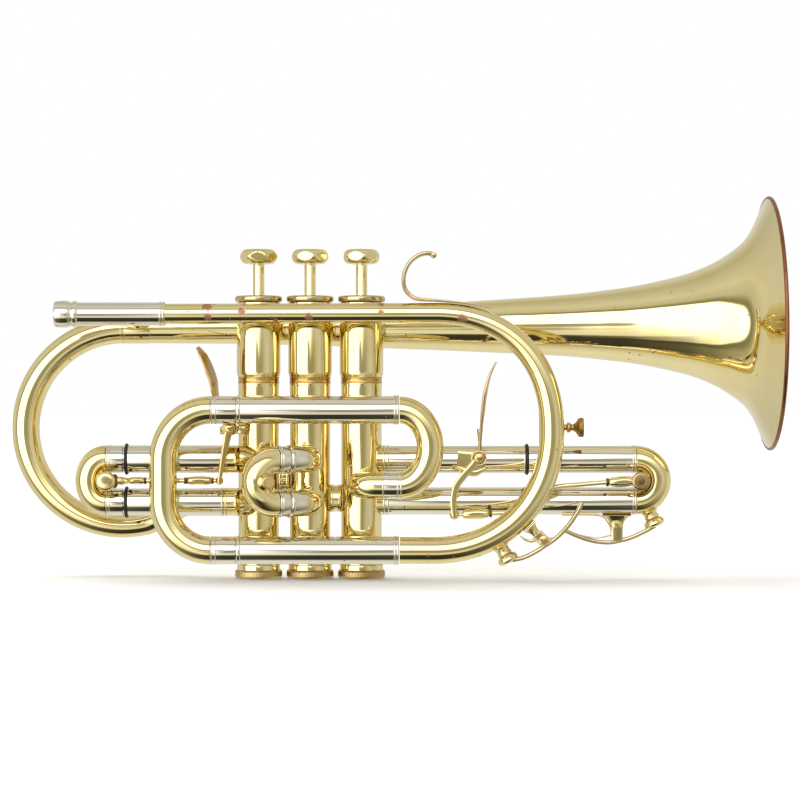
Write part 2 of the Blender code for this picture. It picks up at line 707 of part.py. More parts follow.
def third_slide():
    moving = []
    for place, z in zip(("upper", "lower"), THIRD_Z):
        sleeve(f"third_sleeve_{place}", THIRD_SLEEVE_X, THIRD_Y, z)
        ferrule = (THIRD_FERRULE_X[1], THIRD_FERRULE_X[0])
        moving.append(leg(f"third_leg_{place}", ferrule, THIRD_LEG_END_X, THIRD_Y, z))
    bow_x = THIRD_FERRULE_X[1] + GAP
    middle_z = sum(THIRD_Z) / 2
    bow = slide_bow(bow_x, 1, THIRD_Z, THIRD_Y, 8)
    bridge = block((bow_x + 0.2, THIRD_Y - 1.1, THIRD_Z[1] + 6.0), (bow_x + 3.6, THIRD_Y + 1.1, THIRD_Z[0] - 6.0))
    pin_start = (THIRD_PIN[0], THIRD_Y, THIRD_PIN[1])
    pin = cylinder(pin_start, (THIRD_PIN[0], THIRD_Y - 12.4, THIRD_PIN[1]), 1.5, 10, X_AXIS)
    head_start = (THIRD_PIN[0], THIRD_Y - 11.6, THIRD_PIN[1])
    head = cylinder(head_start, (THIRD_PIN[0], THIRD_Y - 13.4, THIRD_PIN[1]), 4.1, 12, X_AXIS)
    outward = Vector((0.388, 0, -0.921)).normalized()
    nipple = turned(((2.9, 15.6), (2.9, 19.4), (1.6, 19.4), (1.6, 15.6)), (bow_x, THIRD_Y, middle_z), outward, Y_AXIS, 12)
    moving.append(combine("third_bow", [bow, bridge, pin, head, nipple], "lacquered_brass"))
    moving.append(key_saddle("water_key_2_saddle", KEY_2_PIVOT, THIRD_Y, Vector((0, 0, -1)), 9.6, 5.6))
    hang(moving, joint_empty("third_slide_axis", (THIRD_PIN[0], THIRD_LINK_Y, THIRD_PIN[1])))


# ---------------------------------------------------------------- triggers

def hub(pivot, y_range, bore):
    """A trigger's hub: a ring around its pin."""
    length = y_range[1] - y_range[0]
    profile = ((bore, 0), (HUB_RADIUS, 0), (HUB_RADIUS, length), (bore, length))
    return turned(profile, (pivot[0], y_range[0], pivot[1]), Y_AXIS, X_AXIS, 12)


def pivot_pin(pivot, y_back, y_front, head_radius):
    """A pin along Y with a flat head at its front end."""
    length = y_back - y_front
    profile = (
        (0, 0), (PIN_RADIUS, 0), (PIN_RADIUS, length - 1.2), (head_radius, length - 1.2), (head_radius, length),
        (0, length),
    )
    return turned(profile, (pivot[0], y_back, pivot[1]), -Y_AXIS, X_AXIS, 12)


def first_trigger():
    """The thumb lever that pulls the first slide, and its bracket on the first casing."""
    x, z = FIRST_PIVOT
    plate = block((x - 2.8, -7.8, z - 3.2), (-31.3, -6.6, z + 3.2))
    pin = pivot_pin(FIRST_PIVOT, -7.2, FIRST_ARM_Y[0] - 1.6, 2.2)
    combine("first_trigger_bracket", [plate, pin], "worn_brass")
    bore = PIN_RADIUS + GAP
    ring = hub(FIRST_PIVOT, (FIRST_ARM_Y[0], -8.2), bore)
    lower_path = ((x - 0.4, z - 1.9), (-38.6, 62.0), (-41.3, 55.5), (-41.5, 45.0), (-41.5, 43.4))
    lower = strip(lower_path, *FIRST_ARM_Y, 3.0)
    upper_path = ((x - 0.5, z + 1.9), (-38.5, 78.0), (-41.4, 86.0))
    upper = strip(upper_path, -13.2, -8.4, 1.4)
    thumb_path = ((-41.0, 84.9), (-43.6, 91.0), (-46.3, 98.0), (-49.6, 104.0), (-52.6, 107.4))
    thumb = strip(thumb_path, -13.2, -3.4, 1.6)
    lever = combine("first_trigger", [ring, lower, upper, thumb], "worn_brass")
    hang([lever], joint_empty("first_trigger_axis", (x, 0, z)))


def first_link():
    """The rod from the first slide's ball to the thumb lever, with a threaded barrel and a ball end."""
    ball_x, ball_y, z = FIRST_BALL
    y = FIRST_LINK_Y
    start_x = ball_x + FIRST_BALL_RADIUS + GAP + 0.1
    route = (
        (start_x, ball_y + 1.0, z), (-86.6, ball_y + 1.3, z), (-84.4, y - 1.6, z), (-82.0, y, z), (-78.0, y, z),
        (-57.6, y, z),
    )
    rod = sweep(route, LINK_ROD_RADIUS, None, 8, Z_AXIS)
    barrel = cylinder((-58.4, y, z), (-45.4, y, z), LINK_BARREL_RADIUS, 6, Z_AXIS)
    neck = cylinder((-46.0, y, z), (-42.0, y, z), 0.9, 8, Z_AXIS)
    end = ball((FIRST_LINK_BALL_X, y, z), FIRST_LINK_BALL_RADIUS, 10, 6)
    rod_node = combine("first_link", [rod, barrel, neck, end], "lacquered_brass")
    hang([rod_node], joint_empty("first_link_axis", FIRST_BALL))


def third_trigger():
    """The finger lever that pushes the third slide, and its saddle on the fixed tube."""
    x, z = THIRD_PIVOT
    plate = block((68.8, -8.0, 50.2), (x + 3.0, -6.8, 59.6))
    pin = pivot_pin(THIRD_PIVOT, -7.4, -15.0, 2.4)
    combine("third_trigger_bracket", [plate, pin], "worn_brass")
    bore = PIN_RADIUS + GAP
    ring = hub(THIRD_PIVOT, (-13.4, -8.4), bore)
    lower_path = (
        (x - 1.7, z - 1.0), (74.4, 51.0), (69.9, 46.4), (67.4, 41.8), (66.7, 36.6), (66.8, 32.0), (67.2, 27.8),
    )
    lower = strip(lower_path, -13.4, -12.2, 2.8)
    upper_path = (
        (x + 0.3, z + 1.9), (79.2, 64.4), (79.8, 71.3), (80.4, 78.3), (81.3, 86.0), (83.2, 94.0), (86.5, 100.6),
    )
    upper = strip(upper_path, -12.9, -8.6, 1.5)
    lever = combine("third_trigger", [ring, lower, upper], "worn_brass")
    hang([lever], joint_empty("third_trigger_axis", (x, 0, z)))


def third_link():
    """The rod from the finger lever to the third slide, bent to pass behind the front bow."""
    y = THIRD_LINK_Y
    eye_x, eye_z = THIRD_PIN
    eye_profile = ((1.8, -1.7), (3.4, -1.7), (3.4, 1.7), (1.8, 1.7))
    eye = turned(eye_profile, (eye_x, y, eye_z), Y_AXIS, X_AXIS, 12)
    right_barrel = cylinder((eye_x - 2.6, y, eye_z), (137.0, y, 44.8), LINK_BARREL_RADIUS, 6, Y_AXIS)
    route = ((138.0, y, 44.8), (114.0, y, 42.6), (107.0, y, 40.4), (100.0, y, 33.0), (94.0, y, 31.0), (82.0, y, 30.4))
    rod = sweep(route, LINK_ROD_RADIUS, None, 8, Y_AXIS)
    left_barrel = cylinder((83.0, y, 30.4), (70.8, y, 29.9), LINK_BARREL_RADIUS, 6, Y_AXIS)
    neck = cylinder((71.4, y, 29.9), (67.6, y, 29.7), 0.9, 8, Y_AXIS)
    end = ball((67.2, y, 29.7), 2.1, 10, 6)
    rod_node = combine("third_link", [eye, right_barrel, rod, left_barrel, neck, end], "lacquered_brass")
    hang([rod_node], joint_empty("third_link_axis", (eye_x, y, eye_z)))


# ---------------------------------------------------------------- water keys

def key_saddle(name, pivot, y, outward, depth, half_width):
    """A saddle on a tube, with two ears that hold a water key's pin; depth is from the pivot back to the tube."""
    along = outward.cross(Y_AXIS)
    centre = (pivot[0], y, pivot[1])
    base = slanted_block(centre, outward, along, (-depth, -depth + 2.2), half_width, (-3.6, 3.6))
    web = slanted_block(centre, outward, along, (-depth + 1.6, -3.4), 2.2, (-3.6, 3.6))
    ears = [slanted_block(centre, outward, along, (-3.9, 2.0), 2.0, y_range) for y_range in ((-3.6, -2.5), (2.5, 3.6))]
    pin = cylinder((pivot[0], y - 3.2, pivot[1]), (pivot[0], y + 3.2, pivot[1]), KEY_PIN_RADIUS, 8, X_AXIS)
    return combine(name, [base, web, *ears, pin], "lacquered_brass")


def water_key(name, pivot, y, lever_path, cup_base, outward):
    """A water key: a hub on its pin, a bent lever and a cork cup that covers the nipple."""
    half = KEY_WIDTH / 2
    profile = (
        (KEY_PIN_RADIUS + GAP, -half), (KEY_HUB_RADIUS, -half), (KEY_HUB_RADIUS, half), (KEY_PIN_RADIUS + GAP, half),
    )
    ring = turned(profile, (pivot[0], y, pivot[1]), Y_AXIS, X_AXIS, 12)
    lever = strip(lever_path, y - half + 0.1, y + half - 0.1, 1.3)
    cup = turned(((0, 0), (4.2, 0), (4.4, 1.6), (3.4, 3.4), (0, 3.4)), cup_base, outward, Y_AXIS, 12)
    key = combine(name, [ring, lever, cup], "lacquered_brass")
    hang([key], joint_empty(f"{name}_axis", (pivot[0], 0, pivot[1])))


def bow_outward(point):
    direction = Vector((point[0] - FRONT_BOW_CENTRE[0], 0, point[1] - FRONT_BOW_CENTRE[1]))
    return direction.normalized()


def water_key_1():
    """The key on the lower right of the front bow, with its saddle and the nipple it closes."""
    centre = Vector((FRONT_BOW_CENTRE[0], FRONT_Y, FRONT_BOW_CENTRE[1]))
    key_saddle("water_key_1_saddle", KEY_1_PIVOT, FRONT_Y, bow_outward(KEY_1_PIVOT), 8.6, 5.0)
    outward = Vector((0.505, 0, -0.863)).normalized()
    nipple = turned(((3.0, 61.9), (3.0, 65.4), (1.6, 65.4), (1.6, 61.9)), centre, outward, Y_AXIS, 12)
    add_object("water_key_1_nipple", nipple, "lacquered_brass")
    path = (
        (93.0, 9.6), (98.0, 10.6), (103.0, 13.2), (107.9, 16.0), (112.6, 18.6), (116.6, 22.2), (120.2, 26.4),
        (123.3, 31.4), (125.2, 35.5),
    )
    water_key("water_key_1", KEY_1_PIVOT, FRONT_Y, path, centre + outward * 65.8, outward)


def water_key_2():
    """The key under the third slide, which moves with the slide."""
    outward = Vector((0.388, 0, -0.921)).normalized()
    centre = Vector((THIRD_FERRULE_X[1] + GAP, THIRD_Y, sum(THIRD_Z) / 2))
    path = (
        (160.6, 24.4), (156.5, 22.6), (149.5, 19.4), (143.0, 17.2), (137.8, 16.4), (130.8, 17.2), (123.8, 19.6),
        (119.6, 21.4),
    )
    water_key("water_key_2", KEY_2_PIVOT, THIRD_Y, path, centre + outward * 19.8, outward)


# ---------------------------------------------------------------- finger hook and lyre holder

def finger_hook():
    """The little-finger hook: a flat bar curled over, with a long foot along the front bow."""
    path = (
        (57.1, 149.6), (54.5, 150.4), (50.4, 149.2), (46.6, 146.2), (44.3, 142.0), (43.6, 138.0), (44.2, 134.2),
        (46.4, 131.2), (49.8, 129.5), (57.0, 128.9), (64.9, 128.4), (74.1, 127.3), (83.3, 125.2),
    )
    hook = strip(path, FRONT_Y - 3.2, FRONT_Y + 3.2, 1.3)
    tip = cylinder((57.2, FRONT_Y - 3.4, 149.5), (57.2, FRONT_Y + 3.4, 149.5), 1.3, 10, X_AXIS)
    combine("finger_hook", [hook, tip], "lacquered_brass")


def lyre_holder():
    """A socket behind the front bow for a music lyre, and the thumbscrew that clamps it."""
    low, high = LYRE_Z
    tube = sweep(((LYRE_X, LYRE_Y, low), (LYRE_X, LYRE_Y, high)), 4.3, 3.1, 12, X_AXIS)
    boss = cylinder((LYRE_X + 3.7, LYRE_Y, LYRE_SCREW_Z), (LYRE_X + 7.0, LYRE_Y, LYRE_SCREW_Z), 3.0, 12, Y_AXIS)
    bore = cylinder((LYRE_X, LYRE_Y, LYRE_SCREW_Z), (LYRE_X + 8.0, LYRE_Y, LYRE_SCREW_Z), 1.7, 12, Y_AXIS)
    combine("lyre_socket", [tube, boss], "lacquered_brass", [bore])
    profile = (
        (0, 3.6), (1.4, 3.6), (1.4, 8.6), (2.4, 8.8), (2.4, 10.2), (1.6, 11.2), (2.2, 12.6), (4.5, 14.2), (4.5, 16.6),
        (0, 16.6),
    )
    screw_mesh = turned(profile, (LYRE_X, LYRE_Y, LYRE_SCREW_Z), X_AXIS, Y_AXIS, 12)
    screw = add_object("lyre_screw", screw_mesh, "worn_brass")
    hang([screw], joint_empty("lyre_screw_axis", (LYRE_X, LYRE_Y, LYRE_SCREW_Z)))


def build():
    clear_scene()
    valves()
    crossovers()
    receiver()
    leadpipe()
    tuning_slide()
    return_bow()
    bell()
    bell_bow()
    receiver_brace()
    first_slide()
    second_slide()
    third_slide()
    first_trigger()
    first_link()
    third_trigger()
    third_link()
    water_key_1()
    water_key_2()
    finger_hook()
    lyre_holder()


build()
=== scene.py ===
"""The looks of the cornet: smooth polished pieces, their wear, the studio and the camera.

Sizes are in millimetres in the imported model's frame, and meshes are scaled to metres as they are made.
+X runs towards the bell, +Z up to the finger buttons, and +Y to the player's left.
"""

import json
import math

import bmesh
import bpy
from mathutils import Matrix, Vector


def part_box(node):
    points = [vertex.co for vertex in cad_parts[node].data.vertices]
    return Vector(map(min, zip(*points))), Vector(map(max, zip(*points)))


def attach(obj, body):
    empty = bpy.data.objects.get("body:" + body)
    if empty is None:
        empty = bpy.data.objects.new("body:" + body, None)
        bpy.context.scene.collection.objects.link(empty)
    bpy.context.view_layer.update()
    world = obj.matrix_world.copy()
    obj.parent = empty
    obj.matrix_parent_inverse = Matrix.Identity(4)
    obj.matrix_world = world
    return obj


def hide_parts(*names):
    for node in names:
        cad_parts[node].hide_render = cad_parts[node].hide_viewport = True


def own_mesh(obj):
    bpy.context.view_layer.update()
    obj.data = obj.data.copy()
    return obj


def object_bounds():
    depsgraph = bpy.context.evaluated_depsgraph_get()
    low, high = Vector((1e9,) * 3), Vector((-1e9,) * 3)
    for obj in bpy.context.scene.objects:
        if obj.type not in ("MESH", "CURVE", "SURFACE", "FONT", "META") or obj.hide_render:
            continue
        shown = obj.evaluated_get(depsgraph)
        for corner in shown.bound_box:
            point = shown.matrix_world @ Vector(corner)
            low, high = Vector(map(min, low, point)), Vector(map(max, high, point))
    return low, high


MM = 0.001
X_AXIS = Vector((1, 0, 0))
Y_AXIS = Vector((0, 1, 0))
Z_AXIS = Vector((0, 0, 1))

# How finely round shapes are divided
TUBE_SIDES = 40
BARREL_SIDES = 72
BELL_SIDES = 144
KNURL_SIDES = 200

# Tubes
TUBE_RADIUS = 6.4
SLEEVE_RADIUS = 6.45
SLEEVE_BORE = 6.05
LEG_RADIUS = 5.75
LEG_BORE = 5.2
BEAD_HEIGHT = 0.45

# Valves
VALVE_XS = (-24.0, 0.0, 24.0)
CASING_RADIUS = 9.45
BALUSTER_RADIUS = 10.15
BAND_Z = (90.8, 93.6)
CAP_RADIUS = 10.95
STEM_RADIUS = 2.65
SPRING_COLLAR_Z = 120.1
SPRING_WIRE = 0.45
SPRING_TURNS = 5
BUTTON_FACET = 7.9
BUTTON_TURNS = (0.0, -15.0, -20.0)

# Leadpipe and front bow, a half circle drawn out a little at its corners
LEADPIPE_RADIUS = 4.75
FRONT_BOW_CENTRE = (57.35, 68.3)
FRONT_BOW_SIZE = 54.4
FRONT_BOW_SQUARENESS = (2.26, 2.1)
FRONT_BOW_END_RADIUS = 6.2
RETURN_BOW_RADIUS = 6.2
RETURN_BOW_Z = 43.7

# Bell and rear bow
BELL_SLOPE = 0.0096
BELL_TAIL_Z = 116.25
BELL_CENTRE_Y = 21.5
BELL_WALL = 0.6
RIM_WIRE_RADIUS = 0.95
BELL_STATIONS = (
    (-88.9, 6.3), (-20.0, 7.6), (42.0, 10.3), (80.0, 12.2), (118.0, 14.4), (137.0, 16.3),
    (156.0, 18.9), (175.0, 23.1), (185.0, 26.4), (194.0, 30.7), (204.0, 37.7), (209.2, 44.0),
    (213.0, 51.5), (216.4, 59.2),
)
BELL_SEAM_X = 159.8
REAR_BOW_CENTRE = (-89.2, 69.75)
REAR_BOW_SIZE = 46.5
REAR_BOW_TAIL = (
    (-70.5, 20.9, 27.6), (-63.0, 18.6, 32.2), (-54.0, 14.0, 35.3), (-44.0, 9.2, 36.0),
    (-33.9, 7.0, 36.0),
)

# Second slide, which slants towards the player's right hand
SECOND_SLANT = math.radians(25)
SECOND_CORNER_Y = -19.5
SECOND_SLEEVE_END = 10.6
SECOND_BOW_START = 16.4

# First slide: the end of its fixed sleeves, the knob that its link hangs from, and the thumb lever's pivot
FIRST_SLEEVE_END = -39.8
FIRST_KNOB = (-93.4, -15.4)
FIRST_LINK_Y = -12.1
FIRST_PIVOT = (-36.8, 69.9)

# Third slide: the pin that its link holds, and the finger lever's pivot
THIRD_PIN = (153.3, 45.4)
THIRD_LINK_Y = -9.3
THIRD_PIVOT = (78.5, 56.0)

# Water keys: where each turns, and which way its nipple points
KEY_1_PIVOT = (107.7, 18.5)
KEY_1_OUTWARD = Vector((0.505, 0, -0.863)).normalized()
KEY_2_PIVOT = (143.0, 19.6)
KEY_2_OUTWARD = Vector((0.388, 0, -0.921)).normalized()

LYRE_HOLDER_X = 110.5

# The camera stands to the player's right, level with the middle of the instrument
CAMERA_DISTANCE = 1230.0
CAMERA_X = 41.95
CAMERA_Z = 82.9
CAMERA_LENS = 116.5

# The brightest part of the studio that the metal reflects, where paper white is 1
SOFTBOX_LEVEL = 2.3
SUN_STRENGTH = 1.7

FLOOR_HALF_WIDTH = 12000.0
FLOOR_GAP = 0.2

# Each metal's slot in the record, its name, lightest and darkest clean tints, roughness, stain colour,
# share of small dark spots, depth of its dents and, where it is brushed, of its grain
PALE, DEEP, BROWN = (0.87, 0.76, 0.41), (0.82, 0.67, 0.31), (0.42, 0.20, 0.09)
BRASS, WORN, NICKEL, STEEL = "lacquered_brass", "worn_brass", "nickel_silver", "spring_steel"
METALS = {
    "brass": (BRASS, "lacquered_brass_finish", PALE, DEEP, 0.03, BROWN, 0.04, 0.06),
    "pipe": (BRASS, "worn_leadpipe_brass", PALE, DEEP, 0.03, (0.44, 0.21, 0.12), 0.12, 0.05),
    "bell": (BRASS, "bell_brass", (0.87, 0.77, 0.42), (0.84, 0.70, 0.33), 0.02, BROWN, 0.05, 0.08),
    "rim": (BRASS, "rim_wire_brass", (0.36, 0.15, 0.07), (0.22, 0.08, 0.04), 0.3,
            (0.12, 0.05, 0.03), 0.3, 0.04),
    "hook": (BRASS, "hook_brass", (0.72, 0.60, 0.34), (0.50, 0.38, 0.20), 0.14,
             (0.25, 0.12, 0.06), 0.5, 0.05),
    "cap": (WORN, "dull_cap_brass", (0.58, 0.43, 0.18), (0.40, 0.27, 0.10), 0.24, BROWN, 0.25, 0.02, 0.03),
    # band: darker on the casings' band, partly oxidised brass and partly painted shade where the groove faces
    # down; also the bell's seam
    "band": (WORN, "groove_brass_and_painted_shade", (0.66, 0.46, 0.16), (0.45, 0.28, 0.08), 0.2, BROWN, 0.3, 0.05),
    "worn": (WORN, "worn_lever_brass", (0.60, 0.44, 0.22), (0.36, 0.22, 0.10), 0.2, (0.20, 0.09, 0.04),
             0.35, 0.04, 0.02),
    # dark: darker brass for the nuts, and painted shade on the knob's neck, the screw slots and the pin's
    # dimple
    "dark": (WORN, "dark_brass_and_painted_shade", (0.30, 0.18, 0.06), (0.16, 0.09, 0.03), 0.3, (0.06, 0.03, 0.02), 0.3, 0.02),
    "aged": (WORN, "aged_brass", (0.80, 0.62, 0.28), (0.62, 0.44, 0.17), 0.1, BROWN, 0.3, 0.05),
    "screw": (WORN, "screw_brass", (0.50, 0.30, 0.10), (0.34, 0.19, 0.06), 0.28,
              (0.14, 0.06, 0.03), 0.3, 0.02),
    "nickel": (NICKEL, "nickel_silver_finish", (0.84, 0.80, 0.67), (0.80, 0.74, 0.58), 0.03,
               (0.30, 0.24, 0.16), 0.05, 0.02),
    "steel": (STEEL, "spring_wire", (0.62, 0.60, 0.55), (0.45, 0.42, 0.36), 0.2,
              (0.2, 0.13, 0.08), 0.1, 0.02),
}

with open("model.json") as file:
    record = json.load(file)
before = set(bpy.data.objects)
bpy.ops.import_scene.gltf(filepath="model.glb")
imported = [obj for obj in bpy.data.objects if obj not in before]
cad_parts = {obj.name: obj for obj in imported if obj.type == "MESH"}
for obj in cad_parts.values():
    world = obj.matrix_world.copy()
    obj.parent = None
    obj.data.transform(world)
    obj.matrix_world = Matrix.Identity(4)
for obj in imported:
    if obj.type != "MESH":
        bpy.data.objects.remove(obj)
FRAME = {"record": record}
CAD_BOX = [list(corner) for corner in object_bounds()]
BODIES = FRAME["record"]["behaviour"]["bodies"]


# ---------------------------------------------------------------- places from the frame

def limits(node):
    low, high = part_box(node)
    return Vector(low) / MM, Vector(high) / MM


def middle(node):
    low, high = limits(node)
    return (low + high) / 2


def body_with(node):
    return next(body for body, nodes in BODIES.items() if node in nodes)


# ---------------------------------------------------------------- node trees

def add_node(tree, kind, inputs=None, **settings):
    """A new shader node; inputs maps a socket's name or number to a value or to another node's output."""
    made = tree.nodes.new(kind)
    for key, value in settings.items():
        setattr(made, key, value)
    for key, value in (inputs or {}).items():
        if isinstance(value, bpy.types.NodeSocket):
            tree.links.new(value, made.inputs[key])
        else:
            made.inputs[key].default_value = value
    return made


def maths(tree, operation, first, second=0.0, third=0.0, clamp=False):
    inputs = {0: first, 1: second, 2: third}
    return add_node(tree, "ShaderNodeMath", inputs, operation=operation, use_clamp=clamp).outputs[0]


def ramp(tree, factor, stops, interpolation="LINEAR"):
    """A colour ramp's output; stops lists (place from 0 to 1, grey level or colour)."""
    made = add_node(tree, "ShaderNodeValToRGB", {"Fac": factor})
    made.color_ramp.interpolation = interpolation
    elements = made.color_ramp.elements
    while len(elements) < len(stops):
        elements.new(0.5)
    for element, (place, level) in zip(elements, stops):
        element.position = place
        element.color = (*level, 1.0) if isinstance(level, tuple) else (level, level, level, 1.0)
    return made.outputs["Color"]


def noise(tree, where, scale, detail=3.0, roughness=0.5):
    settings = {"Vector": where, "Scale": scale, "Detail": detail, "Roughness": roughness}
    return add_node(tree, "ShaderNodeTexNoise", settings).outputs["Fac"]


def mix_colour(tree, factor, first, second, blend="MIX"):
    made = add_node(tree, "ShaderNodeMix", {"Factor": factor}, data_type="RGBA", blend_type=blend)
    for index, value in ((6, first), (7, second)):
        if isinstance(value, bpy.types.NodeSocket):
            tree.links.new(value, made.inputs[index])
        else:
            made.inputs[index].default_value = (*value, 1.0)
    return made.outputs[2]


def mix_value(tree, factor, first, second):
    inputs = {"Factor": factor, 2: first, 3: second}
    return add_node(tree, "ShaderNodeMix", inputs, data_type="FLOAT").outputs[0]


def scaled(tree, vector, by):
    return add_node(tree, "ShaderNodeVectorMath", {0: vector, 1: by}, operation="MULTIPLY").outputs[0]


def add_bump(tree, shader, height, strength, distance):
    bump = add_node(tree, "ShaderNodeBump", {"Strength": strength, "Distance": distance, "Height": height})
    tree.links.new(bump.outputs["Normal"], shader.inputs["Normal"])


def new_material(name):
    """A node material, with its tree, its shader and the object's own coordinates in millimetres."""
    material = bpy.data.materials.new(name)
    material.use_nodes = True
    tree = material.node_tree
    place = add_node(tree, "ShaderNodeTexCoord").outputs["Object"]
    return material, tree, tree.nodes["Principled BSDF"], scaled(tree, place, (1000, 1000, 1000))


# ---------------------------------------------------------------- materials

def patch_mask(tree, where, patches):
    """One where any of the patches lies, each a rough-edged ball given as (centre, radius)."""
    ragged = noise(tree, where, 0.9, 3.0, 0.6)
    mask = None
    for centre, radius in patches:
        between = add_node(tree, "ShaderNodeVectorMath", {0: where, 1: centre}, operation="DISTANCE")
        away = between.outputs["Value"]
        reach = maths(tree, "MULTIPLY_ADD", ragged, -1.6 * radius, 1.8 * radius)
        inside = maths(tree, "MULTIPLY", maths(tree, "SUBTRACT", reach, away), 2.0, clamp=True)
        mask = inside if mask is None else maths(tree, "MAXIMUM", mask, inside)
    return mask


def metal(name, light, deep, roughness, tarnish, pits, dents, brushed=0.0, patches=()):
    """A worn polished metal with the looks that METALS lists, and large stains where patches says."""
    material, tree, shader, where = new_material(name)
    cloudy = ramp(tree, noise(tree, where, 0.05, 4.0), ((0.3, 0.0), (0.75, 1.0)))
    tint = mix_colour(tree, cloudy, light, deep)
    cells = add_node(tree, "ShaderNodeTexVoronoi", {"Vector": where, "Scale": 0.42})
    cell_number = add_node(tree, "ShaderNodeSeparateColor", {0: cells.outputs["Color"]}).outputs[0]
    chosen = ramp(tree, cell_number, ((1.0 - pits, 0.0), (1.0 - pits + 0.01, 1.0)))
    near = ramp(tree, cells.outputs["Distance"], ((0.0, 1.0), (0.16, 1.0), (0.26, 0.0)))
    worn_zone = ramp(tree, noise(tree, where, 0.03, 2.0), ((0.42, 0.0), (0.6, 1.0)))
    stain = maths(tree, "MULTIPLY", maths(tree, "MULTIPLY", chosen, near), worn_zone)
    if patches:
        stain = maths(tree, "MAXIMUM", stain, patch_mask(tree, where, patches))
    tree.links.new(mix_colour(tree, stain, tint, tarnish), shader.inputs["Base Color"])

    smudge = ramp(tree, noise(tree, where, 0.22, 5.0, 0.6), ((0.35, 0.75), (0.7, 1.5)))
    shine = maths(tree, "MULTIPLY", smudge, roughness)
    tree.links.new(mix_value(tree, stain, shine, 0.42), shader.inputs["Roughness"])
    tree.links.new(mix_value(tree, stain, 1.0, 0.75), shader.inputs["Metallic"])

    waves = maths(tree, "MULTIPLY", noise(tree, where, 0.07, 1.5), dents)
    grain = maths(tree, "MULTIPLY", noise(tree, scaled(tree, where, (0.25, 1.0, 1.0)), 3.0, 2.0), brushed)
    height = maths(tree, "SUBTRACT", maths(tree, "ADD", waves, grain), maths(tree, "MULTIPLY", stain, 0.02))
    add_bump(tree, shader, height, 1.0, MM)
    return material


def soft_stuff(name, colour, roughness, grain_scale):
    """Rubber or cork: a dull speckled material with a fine rough surface."""
    material, tree, shader, where = new_material(name)
    grain = noise(tree, where, grain_scale, 4.0, 0.65)
    darker = tuple(0.6 * level for level in colour)
    tree.links.new(mix_colour(tree, grain, colour, darker), shader.inputs["Base Color"])
    tree.links.new(mix_value(tree, grain, roughness - 0.1, roughness + 0.1), shader.inputs["Roughness"])
    add_bump(tree, shader, grain, 0.3, 0.1 * MM)
    return material


def on_front(x, z, line_z, radius):
    """The point on the near side of a front tube that runs along X."""
    lift = max(-0.99, min(0.99, (z - line_z) / radius))
    return (x, middle("leadpipe").y - radius * math.sqrt(1 - lift * lift), z)


def leadpipe_patches():
    """The brown stains where hands have worn the lacquer off the leadpipe and the front bow."""
    pipe = [
        (-46.4, 125.6, 2.7), (-45.8, 120.6, 1.9), (-30.4, 123.4, 2.0), (-29.6, 126.3, 1.0), (0.2, 120.8, 1.9),
        (33.4, 126.4, 1.9), (33.2, 123.2, 1.4), (12.4, 126.6, 0.8), (42.2, 118.3, 0.9), (52.6, 118.2, 0.9),
        (-15.0, 119.2, 1.4), (12.6, 123.2, 0.6), (29.4, 126.2, 0.9), (-20.0, 126.4, 0.8),
    ]
    patches = [(on_front(x, z, 122.0, LEADPIPE_RADIUS), radius) for x, z, radius in pipe]
    bow = [
        (70.6, 120.0, 2.4), (102.6, 95.7, 1.0), (107.8, 73.4, 0.9), (110.6, 77.0, 0.5), (106.3, 61.6, 0.8),
        (113.4, 60.2, 0.7),
    ]
    front_y = middle("leadpipe").y
    patches += [((x, front_y - 5.0, z), radius) for x, z, radius in bow]
    return patches


def make_materials():
    made = {}
    for key, (_, name, *looks) in METALS.items():
        made[key] = metal(name, *looks, patches=leadpipe_patches() if key == "pipe" else ())
    made["rubber"] = soft_stuff("black_rubber", (0.012, 0.012, 0.011), 0.5, 2.0)
    made["cork"] = soft_stuff("cork", (0.42, 0.24, 0.11), 0.85, 1.4)
    return made


# ---------------------------------------------------------------- mesh building blocks

def lathe(profile, centre, axis=X_AXIS, sides=TUBE_SIDES, shape=None):
    """A turned shape: the profile lists (radius, distance along the axis), closed or ending on the axis.

    shape, where given, gives the radius to use, from the angle, the side's number, the radius and the
    distance.
    """
    bm = bmesh.new()
    across = Y_AXIS if abs(axis.y) < 0.9 else X_AXIS
    across = (across - axis * across.dot(axis)).normalized()
    up = axis.cross(across).normalized()
    rings = []
    for radius, along in profile:
        hub = Vector(centre) + axis * along
        if radius == 0:
            rings.append([bm.verts.new(hub)])
            continue
        ring = []
        for side in range(sides):
            angle = math.tau * side / sides
            reach = shape(angle, side, radius, along) if shape else radius
            ring.append(bm.verts.new(hub + (across * math.cos(angle) + up * math.sin(angle)) * reach))
        rings.append(ring)
    pairs = list(zip(rings, rings[1:]))
    if len(rings[0]) > 1:
        pairs.append((rings[-1], rings[0]))
    for first, second in pairs:
        for side in range(sides):
            after = (side + 1) % sides
            if len(first) == 1:
                bm.faces.new((first[0], second[side], second[after]))
            elif len(second) == 1:
                bm.faces.new((second[0], first[side], first[after]))
            else:
                bm.faces.new((first[side], first[after], second[after], second[side]))
    return bm


def ring_profile(inner, outer, start, end):
    """A plain ring or, where its inner radius is 0, a plain pin."""
    return (inner, start), (outer, start), (outer, end), (inner, end)


